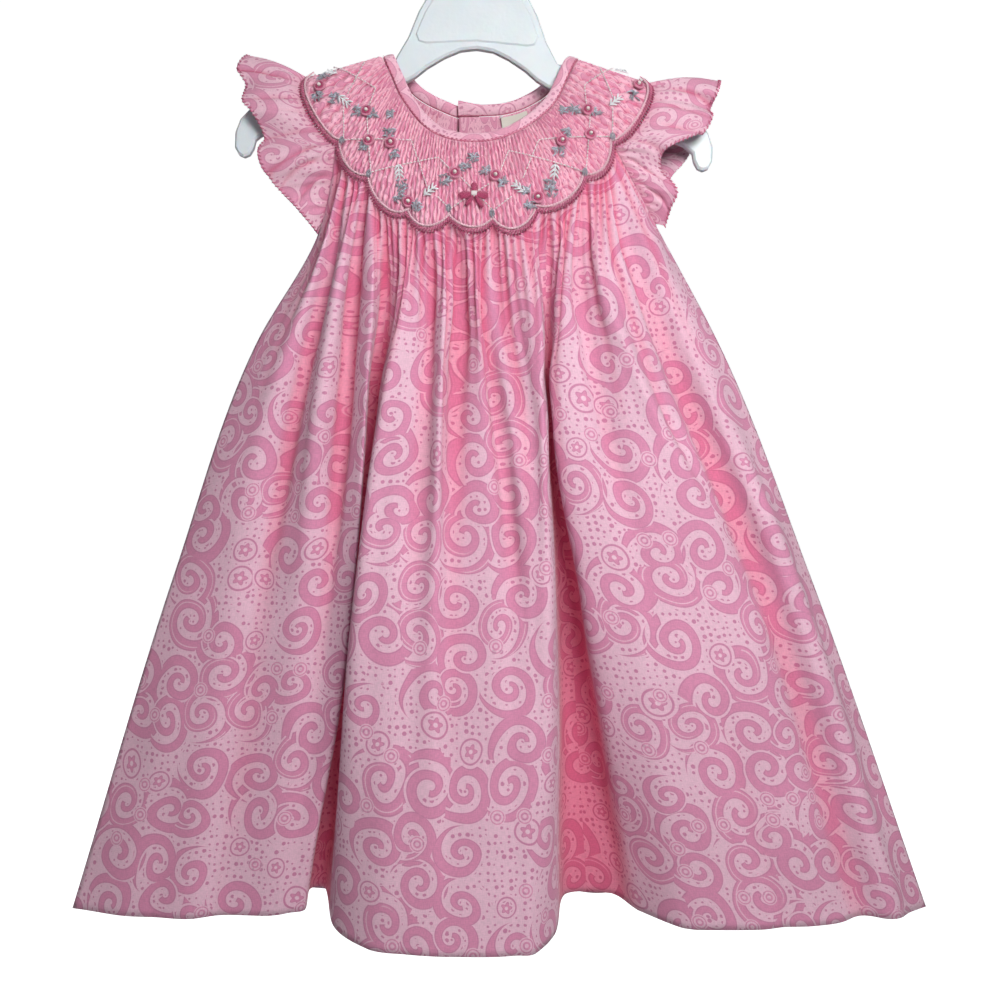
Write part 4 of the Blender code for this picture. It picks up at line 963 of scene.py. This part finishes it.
def binding_strip(name, look):
    """A closed folded strip with a soft crowned face, puckered a little where it is stitched."""
    seam, normals, upward = neck_seam(28)
    angle = np.linspace(0, 2 * np.pi, 25)[:-1]
    height = 0.5 - 0.5 * np.cos(angle)
    out = np.sin(angle) * np.where(np.sin(angle) > 0, 1.0, 1.25)
    arc = np.concatenate([[0], np.cumsum(np.linalg.norm(np.diff(seam, axis=0), axis=1))])
    pucker = 0.12 * np.sin(arc * 2.1) * np.sin(arc * 0.37)
    raised = BINDING_CORNER * np.clip(1 - (arc[-1] - arc) / 15.0, 0, 1) ** 1.5
    ring = []
    for h, o in zip(height, out):
        swell = o * (BINDING_WALL / 2 + pucker * (1 - h))
        rise = SEAM_GAP + h * (BINDING_WIDTH + raised)
        ring.append(seam + upward * rise[:, None] + normals * (swell - WALL / 4)[:, None])
    ring = np.array(ring)
    count = len(seam)
    index = np.arange(len(angle) * count).reshape(len(angle), count)
    after = np.roll(index, -1, axis=0)
    faces = np.stack([index[:, :-1], index[:, 1:], after[:, 1:], after[:, :-1]], axis=-1).reshape(-1, 4).tolist()
    faces += [index[::-1, 0].tolist(), index[:, -1].tolist()]
    mesh = bpy.data.meshes.new(name)
    mesh.from_pydata((ring.reshape(-1, 3) * MM).tolist(), [], faces)
    mesh.shade_smooth()
    around = np.arange(len(angle)) / len(angle) * BINDING_WIDTH * 2
    places = np.stack([np.tile(arc, (len(angle), 1)), np.tile(around[:, None], (1, count))], axis=-1).reshape(-1, 2)
    layer = mesh.uv_layers.new(name="cloth")
    corners = np.empty(len(mesh.loops), dtype=np.int32)
    mesh.loops.foreach_get("vertex_index", corners)
    layer.data.foreach_set("uv", ((places[corners] * (1.0, 1.6) + (0.0, 40.0)) * MM).ravel())
    # Painted shade along the strip's lower fold, where it meets the seam.
    attribute = mesh.attributes.new("painted_shade", "FLOAT", "POINT")
    painted_shade_tint = np.where(height[:, None] < 0.12, 0.7, 0.0) * np.ones((1, count))
    attribute.data.foreach_set("value", painted_shade_tint.ravel().astype(np.float32))
    mesh.materials.append(look)
    made = bpy.data.objects.new(name, mesh)
    bpy.context.scene.collection.objects.link(made)
    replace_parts(made, "neck_binding")
    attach(made, "root")
    return seam, normals, upward


# The last colour is the painted shade tint, for the lower fold.
BINDING = printed_cotton("bias_cotton", (0.90, 0.53, 0.64, 1), (0.80, 0.36, 0.49, 1), (0.92, 0.62, 0.70, 1),
                         (0.60, 0.16, 0.28, 1), 0.45)
binding_seam = binding_strip("binding_folded", BINDING)


# Neck label: a blank woven tape, folded under and sewn to the inside of the back neck.
# Its CAD solid stays, with a close satin weave.
tape, graph, shader = finish("label_tape", 0.6, Sheen_Weight=0.15, Specular_IOR_Level=0.3)
place = graph.vector("SCALE", graph.add("ShaderNodeTexCoord").outputs["Object"])
place.node.inputs["Scale"].default_value = 1000.0
ribs = graph.add("ShaderNodeTexWave", {"Vector": place, "Scale": 1.1, "Distortion": 0.4},
                 bands_direction="Z").outputs["Fac"]
graph.give(shader.inputs["Base Color"], graph.colour(ribs, (0.80, 0.75, 0.66, 1), (0.88, 0.84, 0.76, 1)))
bumped(graph, shader, ribs, 0.08)
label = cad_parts["neck_label"]
label.data.materials.clear()
label.data.materials.append(tape)


# Buttons: three shirt buttons of pink pearl plastic down the back opening.
pearl, graph, shader = finish("button_plastic", 0.22, Coat_Weight=0.5, Coat_Roughness=0.1)
place = graph.add("ShaderNodeTexCoord").outputs["Object"]
swirl = graph.noise(place, 260.0, 3.0)
graph.give(shader.inputs["Base Color"], graph.colour(swirl, (0.78, 0.42, 0.50, 1), (0.90, 0.66, 0.70, 1)))
bumped(graph, shader, swirl, 0.05)
for number in (1, 2, 3):
    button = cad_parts[f"button_{number}"]
    button.data.materials.clear()
    button.data.materials.append(pearl)


# Scalloped cord: below the smocking runs a row of fine light chain stitch and a thick cord of cable stitch.
# Both follow every lobe of the edge and hold the last pleats down.
def geometry_tree(name, inputs):
    """An empty Geometry Nodes tree with its sockets; returns the graph, its inputs and its output socket."""
    tree = bpy.data.node_groups.new(name, "GeometryNodeTree")
    tree.interface.new_socket("Geometry", in_out="INPUT", socket_type="NodeSocketGeometry")
    for label, kind in inputs:
        tree.interface.new_socket(label, in_out="INPUT", socket_type=kind)
    tree.interface.new_socket("Geometry", in_out="OUTPUT", socket_type="NodeSocketGeometry")
    made = Graph(tree)
    return made, made.add("NodeGroupInput").outputs, made.add("NodeGroupOutput").inputs[0]


def stitch_row_tree():
    """Plump stitches set along a path. The path's points carry the cloth's outward direction as "out"."""
    tree, given, result = geometry_tree("stitch_row", (
        ("Spacing", "NodeSocketFloat"), ("Stitch Length", "NodeSocketFloat"), ("Stitch Width", "NodeSocketFloat"),
        ("Slant", "NodeSocketFloat"), ("Thread", "NodeSocketMaterial")))
    path = tree.add("GeometryNodeMeshToCurve", {"Mesh": given["Geometry"]}).outputs[0]
    spaced = tree.add("GeometryNodeResampleCurve", {"Curve": path, "Length": given["Spacing"]}, mode="LENGTH")
    out = tree.add("GeometryNodeInputNamedAttribute", {"Name": "out"}, data_type="FLOAT_VECTOR").outputs[0]
    tangent = tree.add("GeometryNodeInputTangent").outputs[0]
    lifted = tree.add("FunctionNodeAlignRotationToVector", {"Vector": out}, axis="Z").outputs[0]
    turned = tree.add("FunctionNodeAlignRotationToVector", {"Rotation": lifted, "Vector": tangent},
                      axis="X", pivot_axis="Z").outputs[0]
    slant = tree.add("FunctionNodeAxisAngleToRotation", {"Axis": (0.0, 0.0, 1.0), "Angle": given["Slant"]}).outputs[0]
    leaning = tree.add("FunctionNodeRotateRotation", {"Rotation": turned, "Rotate By": slant},
                       rotation_space="LOCAL").outputs[0]
    size = tree.add("ShaderNodeCombineXYZ", {
        "X": tree.sum("MULTIPLY", given["Stitch Length"], 0.5),
        "Y": tree.sum("MULTIPLY", given["Stitch Width"], 0.5),
        "Z": tree.sum("MULTIPLY", given["Stitch Width"], 0.42)}).outputs[0]
    ball = tree.add("GeometryNodeMeshUVSphere", {"Segments": 8, "Rings": 6, "Radius": 1.0}).outputs[0]
    placed = tree.add("GeometryNodeInstanceOnPoints", {
        "Points": spaced.outputs[0], "Instance": ball, "Rotation": leaning, "Scale": size}).outputs[0]
    whole = tree.add("GeometryNodeRealizeInstances", {"Geometry": placed}).outputs[0]
    smooth = tree.add("GeometryNodeSetShadeSmooth", {"Geometry": whole}).outputs[0]
    tree.give(result, tree.add("GeometryNodeSetMaterial",
                               {"Geometry": smooth, "Material": given["Thread"]}).outputs[0])
    return tree.tree


STITCH_ROW = stitch_row_tree()


def grown(name, lines, tree, marks, settings):
    """Lines of points, in millimetres, made into a finished piece by a Geometry Nodes tree.

    marks are vectors or numbers kept on the points; settings are the tree's named inputs.
    """
    points = np.concatenate(lines)
    edges = []
    start = 0
    for line in lines:
        edges += [(start + k, start + k + 1) for k in range(len(line) - 1)]
        start += len(line)
    mesh = bpy.data.meshes.new(name + "_lines")
    mesh.from_pydata((points * MM).tolist(), edges, [])
    for mark, values in marks.items():
        values = np.concatenate(values)
        kind, field = ("FLOAT_VECTOR", "vector") if values.ndim == 2 else ("FLOAT", "value")
        mesh.attributes.new(mark, kind, "POINT").data.foreach_set(field, values.ravel().astype(np.float32))
    source = bpy.data.objects.new(name + "_lines", mesh)
    bpy.context.scene.collection.objects.link(source)
    modifier = source.modifiers.new("make", "NODES")
    modifier.node_group = tree
    for item in tree.interface.items_tree:
        if item.in_out == "INPUT" and item.name in settings:
            modifier[item.identifier] = settings[item.name]
    ready = source.evaluated_get(bpy.context.evaluated_depsgraph_get())
    made = bpy.data.objects.new(name, bpy.data.meshes.new_from_object(ready))
    made.data.name = name
    bpy.data.objects.remove(source)
    bpy.context.scene.collection.objects.link(made)
    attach(made, "root")
    return made


def floss(name, colour, pale, roughness=0.55):
    """Twisted embroidery thread: a soft gloss, with fine strands across it."""
    made, graph, shader = finish(name, roughness, Sheen_Weight=0.25, Sheen_Roughness=0.4, Specular_IOR_Level=0.4)
    place = graph.vector("SCALE", graph.add("ShaderNodeTexCoord").outputs["Object"])
    place.node.inputs["Scale"].default_value = 1000.0
    strands = graph.add("ShaderNodeTexWave", {"Vector": place, "Scale": 1.4, "Distortion": 1.5, "Detail": 1.0},
                        bands_direction="DIAGONAL").outputs["Fac"]
    mixed = graph.colour(strands, colour, pale)
    graph.give(shader.inputs["Base Color"], mixed)
    bumped(graph, shader, strands, 0.1)
    return made


DEEP_PINK = floss("deep_pink_floss", (0.40, 0.035, 0.12, 1), (0.62, 0.10, 0.22, 1))
ROSE_PINK = floss("rose_pink_floss", (0.66, 0.19, 0.32, 1), (0.80, 0.33, 0.45, 1))
CORD_PINK = floss("cord_pink_floss", (0.52, 0.09, 0.20, 1), (0.74, 0.23, 0.36, 1))
PALE_PINK = floss("pale_pink_floss", (0.88, 0.52, 0.61, 1), (0.95, 0.68, 0.75, 1))


def scallop_path(yoke, down_from_edge, lift, step=40):
    """A line that follows the scalloped edge at a distance above it, and its outward directions."""
    along = np.linspace(0.02, yoke.length - 0.02, yoke.length * step)
    edge = yoke.edge_at(along)
    normals = yoke.normal(along, np.full(len(along), 0.97))
    return edge - yoke.down_at(along) * down_from_edge + normals * lift, normals


for yoke, name in ((front_yoke, "front"), (left_yoke, "back_left"), (right_yoke, "back_right")):
    line, out = scallop_path(yoke, 1.2, 1.5)
    grown(f"cable_cord_{name}", [line], STITCH_ROW, {"out": [out]},
          {"Spacing": 1.75 * MM, "Stitch Length": 2.8 * MM, "Stitch Width": 1.3 * MM, "Slant": 0.85, "Thread": CORD_PINK})
    line, out = scallop_path(yoke, -0.5, 0.9)
    grown(f"cord_base_{name}", [line], STITCH_ROW, {"out": [out]},
          {"Spacing": 1.9 * MM, "Stitch Length": 2.6 * MM, "Stitch Width": 0.8 * MM, "Slant": 1.35, "Thread": DEEP_PINK})
    line, out = scallop_path(yoke, 3.3, 2.1)
    grown(f"chain_row_{name}", [line], STITCH_ROW, {"out": [out]},
          {"Spacing": 1.7 * MM, "Stitch Length": 2.1 * MM, "Stitch Width": 1.35 * MM, "Slant": 0.3, "Thread": PALE_PINK})


# Sleeve edges: a rolled edge, whipped over with slanting stitches.
for side, (line, out) in (("left", left_hem), ("right", right_hem)):
    grown(f"sleeve_whipping_{side}", [line + out * 0.1], STITCH_ROW, {"out": [out]},
          {"Spacing": 2.7 * MM, "Stitch Length": 3.2 * MM, "Stitch Width": 0.95 * MM, "Slant": 0.9, "Thread": CORD_PINK})


# Embroidery on the smocking, worked by hand: a lattice of pale running stitches over the yoke,
# bullion roses with a pearl bead, grey leaves, white sprays, and a satin-stitch bow at the middle.
FLOSS_RISE = 2.0                      # embroidery lies on the tops of the pleats
LATTICE = (
    ((0.28, 0.21), (0.66, 0.54)), ((0.04, 0.65), (0.94, 0.24), (1.12, 0.42)), ((0.74, 0.64), (1.08, 0.87)),
    ((1.26, 0.48), (2.02, 0.88)), ((1.08, 0.87), (2.74, 0.24), (3.42, 0.58)),
    ((2.04, 0.88), (3.66, 0.26), (4.04, 0.42)), ((3.70, 0.67), (4.0, 0.9)), ((4.04, 0.87), (5.02, 0.55)),
    ((4.22, 0.43), (5.02, 0.87)), ((8.78, 0.3), (8.44, 0.58)), ((8.95, 0.5), (8.4, 0.22), (8.14, 0.39)),
    ((8.34, 0.64), (8.06, 0.88)), ((8.1, 0.47), (7.1, 0.88)), ((8.06, 0.88), (6.54, 0.23), (5.82, 0.55)),
    ((7.04, 0.9), (5.64, 0.18), (5.26, 0.41)), ((5.52, 0.64), (5.02, 0.87)),
)
ROSES = ((0.38, 0.77), (1.14, 0.46), (1.66, 0.61), (2.24, 0.44), (2.98, 0.87), (4.14, 0.43), (5.16, 0.43),
         (6.08, 0.84), (7.02, 0.45), (7.78, 0.60), (8.12, 0.42), (8.74, 0.81))
GREY_LEAVES = ((0.26, 0.72), (0.48, 0.83), (0.6, 0.68), (0.94, 0.57), (1.36, 0.4), (1.88, 0.25), (2.12, 0.39),
               (1.62, 0.69), (2.42, 0.49), (2.78, 0.69), (2.78, 0.8), (3.2, 0.81), (3.88, 0.52), (4.4, 0.33),
               (4.62, 0.21), (4.92, 0.37), (5.36, 0.49), (5.9, 0.71), (5.88, 0.86), (6.34, 0.8), (6.36, 0.73),
               (6.82, 0.5), (7.24, 0.37), (7.78, 0.17), (7.96, 0.29), (8.18, 0.5), (8.58, 0.78))
GREY_KNOTS = ((1.06, 0.89), (2.02, 0.91), (4.02, 0.87), (5.02, 0.89), (7.06, 0.9), (8.06, 0.88))
# along, down, and the way that the spray points, in degrees
WHITE_SPRAYS = ((0.24, 0.62, 150), (0.7, 0.6, -38), (2.64, 0.59, -84), (3.52, 0.61, 38), (5.7, 0.59, 142),
                (6.54, 0.63, -96), (8.42, 0.63, 40), (8.93, 0.6, 20))


def on_yoke(along, down, rise=FLOSS_RISE):
    """A place on the smocking with its two directions in the surface and its outward one."""
    centre = front_yoke.at(along, down)[0]
    normal = front_yoke.normal(along, down)[0]
    side = unit(np.array([1.0, 0.0, 0.0]) - normal * normal[0])
    up = np.cross(side, normal)
    up = up * np.sign(up[2] if abs(up[2]) > 1e-6 else 1.0)
    return centre + normal * rise, side, up, normal


def strand_tree():
    """Threads of their own thickness along lines; the points carry the thickness as "thick"."""
    tree, given, result = geometry_tree("strand", (("Sides", "NodeSocketInt"), ("Thread", "NodeSocketMaterial")))
    path = tree.add("GeometryNodeMeshToCurve", {"Mesh": given["Geometry"]}).outputs[0]
    thick = tree.add("GeometryNodeInputNamedAttribute", {"Name": "thick"}, data_type="FLOAT").outputs[0]
    sized = tree.add("GeometryNodeSetCurveRadius", {"Curve": path, "Radius": thick}).outputs[0]
    ring = tree.add("GeometryNodeCurvePrimitiveCircle", {"Resolution": given["Sides"], "Radius": 1.0}).outputs[0]
    tube = tree.add("GeometryNodeCurveToMesh", {"Curve": sized, "Profile Curve": ring, "Fill Caps": True})
    if "Scale" in tube.inputs:
        tree.give(tube.inputs["Scale"], thick)
    whole = tree.add("GeometryNodeRealizeInstances", {"Geometry": tube.outputs[0]}).outputs[0]
    smooth = tree.add("GeometryNodeSetShadeSmooth", {"Geometry": whole}).outputs[0]
    tree.give(result, tree.add("GeometryNodeSetMaterial",
                               {"Geometry": smooth, "Material": given["Thread"]}).outputs[0])
    return tree.tree


STRAND = strand_tree()


class Floss:
    """Collects stitches of one thread; each is a line of points with its thickness."""

    def __init__(self, name, thread, sides=6):
        self.name = name
        self.thread = thread
        self.sides = sides
        self.lines = []
        self.thick = []

    def stitch(self, points, thick, taper=0.35):
        points = np.asarray(points, dtype=float)
        share = np.linspace(-1, 1, len(points))
        self.lines.append(points)
        self.thick.append(thick * (1 - (1 - taper) * np.abs(share) ** 3) * MM)

    def straight(self, start, end, thick, arch, normal, taper=0.35):
        """A stitch from one point to another, arched a little off the cloth."""
        share = np.linspace(0, 1, 6)[:, None]
        self.stitch(start + (end - start) * share + normal * arch * np.sin(np.pi * share), thick, taper)

    def sew(self):
        made = grown(self.name, self.lines, STRAND, {"thick": self.thick},
                     {"Sides": self.sides, "Thread": self.thread})
        return made


CREAM = floss("cream_floss", (0.90, 0.78, 0.79, 1), (0.96, 0.90, 0.90, 1))
WHITE = floss("white_floss", (0.92, 0.93, 0.97, 1), (0.98, 0.98, 1.0, 1))
GREY = floss("grey_floss", (0.26, 0.25, 0.30, 1), (0.48, 0.47, 0.53, 1))
PALE_GREY = floss("pale_grey_floss", (0.50, 0.56, 0.66, 1), (0.66, 0.71, 0.80, 1))

lattice = Floss("lattice_stitches", CREAM)
grid_along, grid_down = [values.ravel() for values in np.meshgrid(np.linspace(0, 9, 361), np.linspace(0, 1, 61))]
yoke_grid = front_yoke.at(grid_along, grid_down)
for corners in LATTICE:
    corners = np.array(corners)
    posts = front_yoke.at(corners[:, 0], corners[:, 1])
    steps = np.linspace(0, len(posts) - 1, 160)
    straight = np.stack([np.interp(steps, np.arange(len(posts)), posts[:, axis]) for axis in range(3)], axis=-1)
    near = [int(np.argmin(np.sum((yoke_grid[:, ::2] - point[::2]) ** 2, axis=1))) for point in straight]
    normals = front_yoke.normal(grid_along[near], grid_down[near])
    path = np.column_stack([straight[:, 0], yoke_grid[near, 1], straight[:, 2]])
    walked = np.concatenate([[0], np.cumsum(np.linalg.norm(np.diff(path, axis=0), axis=1))])
    for start in np.arange(0.4, walked[-1] - 1.2, 2.1):
        ends = [np.searchsorted(walked, start), min(np.searchsorted(walked, start + 1.55), len(walked) - 1)]
        normal = normals[ends[0]]
        lattice.straight(path[ends[0]] + normal * 1.7, path[ends[1]] + normal * 1.75, 0.42, 0.45, normal, 0.5)
lattice.sew()

roses = Floss("bullion_roses", DEEP_PINK, 7)
petals = Floss("rose_petals", ROSE_PINK, 6)
pearls = []
for along, down in ROSES:
    centre, side, up, normal = on_yoke(along, down, 2.1)
    for turn in range(2):
        for part in range(3):
            angle = np.linspace(0, 2.5, 9) + part * 2.094 + turn * 1.05
            reach = 1.85 + turn * 1.15
            ring = centre + side * (reach * np.cos(angle))[:, None] + up * (reach * np.sin(angle))[:, None]
            rise = (0.55 - 0.42 * turn) + 0.25 * np.sin(np.linspace(0, np.pi, 9))
            (petals if turn else roses).stitch(ring + normal * rise[:, None], 0.85, 0.6)
    pearls.append((centre + normal * 1.1, normal))
roses.sew()
petals.sew()

grey = Floss("grey_leaves", GREY)
pale_grey = Floss("grey_leaf_lights", PALE_GREY)
chance = np.random.default_rng(8)
for along, down in GREY_LEAVES:
    centre, side, up, normal = on_yoke(along, down)
    for k in range(16):
        angle = k * 0.9 + chance.uniform(-0.4, 0.4)
        foot = centre + side * chance.uniform(-3.0, 3.0) + up * chance.uniform(-3.0, 3.0)
        reach = (side * math.cos(angle) + up * math.sin(angle)) * chance.uniform(1.2, 2.1)
        (pale_grey if k % 4 == 3 else grey).straight(foot - reach, foot + reach, 0.42, 0.6, normal, 0.5)
for along, down in GREY_KNOTS:
    centre, side, up, normal = on_yoke(along, down)
    for k in range(7):
        angle = 2 * math.pi * k / 7
        reach = (side * math.cos(angle) + up * math.sin(angle)) * 1.5
        grey.straight(centre + reach - up * 1.2, centre + reach * 0.6 + up * 1.5, 0.45, 0.6, normal)
grey.sew()
pale_grey.sew()

sprays = Floss("white_sprays", WHITE)
for along, down, points_to in WHITE_SPRAYS:
    centre, side, up, normal = on_yoke(along, down)
    angle = math.radians(points_to)
    stem = side * math.cos(angle) + up * math.sin(angle)
    across = np.cross(normal, stem)
    sprays.straight(centre - stem * 5.2, centre + stem * 4.8, 0.5, 0.6, normal)
    for k in range(3):
        foot = centre + stem * (k * 2.7 - 4.4)
        for way in (-1, 1):
            sprays.straight(foot, foot + stem * 3.2 + across * way * 2.6, 0.56, 0.7, normal)
sprays.sew()

bow = Floss("satin_bow", DEEP_PINK)
centre, side, up, normal = on_yoke(4.6, 0.61, 2.0)
# loops and tails as spines: x and z at both ends, and the half width at the widest place
BOW_PARTS = (
    ((-1.0, -0.2), (-8.3, -1.2), 2.6), ((1.0, -0.2), (8.2, -1.1), 2.4), ((0.0, 1.2), (0.2, 6.3), 2.1),
    ((-0.7, -1.5), (-4.8, -7.2), 1.5), ((0.8, -1.5), (5.2, -8.4), 1.6),
)
for (x0, z0), (x1, z1), widest in BOW_PARTS:
    run = np.array([x1 - x0, z1 - z0])
    length = np.hypot(*run)
    run = run / length
    turned = np.array([-run[1], run[0]])
    count = max(int(length / 0.55), 4)
    for k in range(count):
        share = (k + 0.5) / count
        half = widest * math.sin(math.pi * (0.1 + 0.78 * share)) ** 0.7 * (0.75 + 0.4 * share)
        middle = np.array([x0, z0]) + run * length * share
        a = middle - turned * half
        b = middle + turned * half
        bow.straight(centre + side * a[0] + up * a[1], centre + side * b[0] + up * b[1], 0.38, 1.1, normal, 0.6)
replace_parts(bow.sew(), "bow")
knot = Floss("bow_knot", CREAM)
for k in range(6):
    shift = (k - 2.5) * 0.5
    knot.straight(centre + side * shift - up * 1.7, centre + side * shift + up * 1.7, 0.42, 2.0, normal, 0.6)
knot.sew()


# Pearl beads: one round bead sewn in the middle of each rose.
pearl_bead, graph, shader = finish("pearl_bead", 0.22, Coat_Weight=0.6, Coat_Roughness=0.12)
place = graph.add("ShaderNodeTexCoord").outputs["Object"]
graph.give(shader.inputs["Base Color"],
           graph.colour(graph.noise(place, 700.0, 2.0), (0.86, 0.78, 0.74, 1), (0.93, 0.88, 0.85, 1)))
bead_lines = [np.array([point - normal * 0.6, point + normal * 0.6]) for point, normal in pearls]
grown("rose_beads", bead_lines, STITCH_ROW, {"out": [np.array([[0.0, 0.0, 1.0]] * 2) for _ in bead_lines]},
      {"Spacing": 0.01, "Stitch Length": 2.3 * MM, "Stitch Width": 2.3 * MM, "Slant": 0.0, "Thread": pearl_bead})


# Label stitches: the tape's side is whipped to the neck with three white stitches.
low, high = [np.array(corner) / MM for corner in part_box("neck_label")]
label_side = Floss("label_stitches", WHITE)
for share in (0.12, 0.36, 0.6, 0.84):
    foot = np.array([low[0] - 0.9, low[1] - 0.3, low[2] + (high[2] - low[2]) * share])
    label_side.straight(foot, foot + (2.2, 0.0, 1.3), 0.35, 0.4, np.array([0.0, -1.0, 0.0]), 0.5)
label_side.sew()


# Stitching at the neck: a small line of running stitches along the lower edge of the binding.
seam, normals, upward = binding_seam
line = seam + upward * 1.0 + normals * 0.95
grown("binding_stitches", [line[2:-2]], STITCH_ROW, {"out": [normals[2:-2]]},
      {"Spacing": 2.6 * MM, "Stitch Length": 1.6 * MM, "Stitch Width": 0.5 * MM, "Slant": 0.0, "Thread": DEEP_PINK})


# Room: a plain pale floor that curves up all round, and three large soft lamps.
cove = bpy.data.meshes.new("pale_floor")
profile = [(0.0, -1.05), (3.2, -1.05), (4.2, -0.95), (5.0, -0.62), (5.6, -0.05), (5.9, 0.8), (6.0, 2.2), (6.0, 5.0)]
turns = 96
vertices = [(r * math.cos(2 * math.pi * k / turns), r * math.sin(2 * math.pi * k / turns), z)
            for r, z in profile[1:] for k in range(turns)] + [(0.0, 0.0, profile[0][1])]
faces = [(row * turns + k, row * turns + (k + 1) % turns, (row + 1) * turns + (k + 1) % turns, (row + 1) * turns + k)
         for row in range(len(profile) - 2) for k in range(turns)]
faces += [(len(vertices) - 1, (k + 1) % turns, k) for k in range(turns)]
cove.from_pydata(vertices, [], faces)
cove.shade_smooth()
paper, graph, shader = finish("pale_paper", 0.9, Emission_Color=(1, 1, 1, 1))
graph.give(shader.inputs["Emission Strength"],
           graph.sum("MULTIPLY", graph.add("ShaderNodeLightPath").outputs["Is Camera Ray"], 0.95))
place = graph.add("ShaderNodeTexCoord").outputs["Object"]
graph.give(shader.inputs["Base Color"],
           graph.colour(graph.noise(place, 2.0, 2.0), (0.55, 0.55, 0.56, 1), (0.60, 0.60, 0.60, 1)))
cove.materials.append(paper)
floor = bpy.data.objects.new("pale_floor", cove)
bpy.context.scene.collection.objects.link(floor)

for name, place, aim, size, power in (
        ("key", (0.25, -0.74, -0.07), (-0.01, 0.0, -0.35), 0.32, 6.0),
        ("fill", (-1.7, -1.4, 0.1), (0.0, 0.0, -0.4), 1.6, 0.8),
        ("back", (-0.6, 2.2, 1.4), (0.0, 0.0, -0.3), 1.8, 48.0)):
    lamp_data = bpy.data.lights.new(name, "AREA")
    lamp_data.size = size
    lamp_data.energy = power
    lamp = bpy.data.objects.new(name, lamp_data)
    lamp.location = place
    direction = np.array(aim) - np.array(place)
    lamp.rotation_euler = (math.acos(-direction[2] / np.linalg.norm(direction)), 0.0,
                           math.atan2(direction[1], direction[0]) - math.pi / 2)
    bpy.context.scene.collection.objects.link(lamp)
world = bpy.data.worlds.new("studio")
world.use_nodes = True
world.node_tree.nodes["Background"].inputs["Color"].default_value = (1.0, 1.0, 1.0, 1.0)
world.node_tree.nodes["Background"].inputs["Strength"].default_value = 0.205
bpy.context.scene.world = world
bpy.context.scene.view_settings.view_transform = "Standard"
bpy.context.scene.cycles.adaptive_threshold = 0.03
bpy.context.scene.cycles.diffuse_bounces = 3
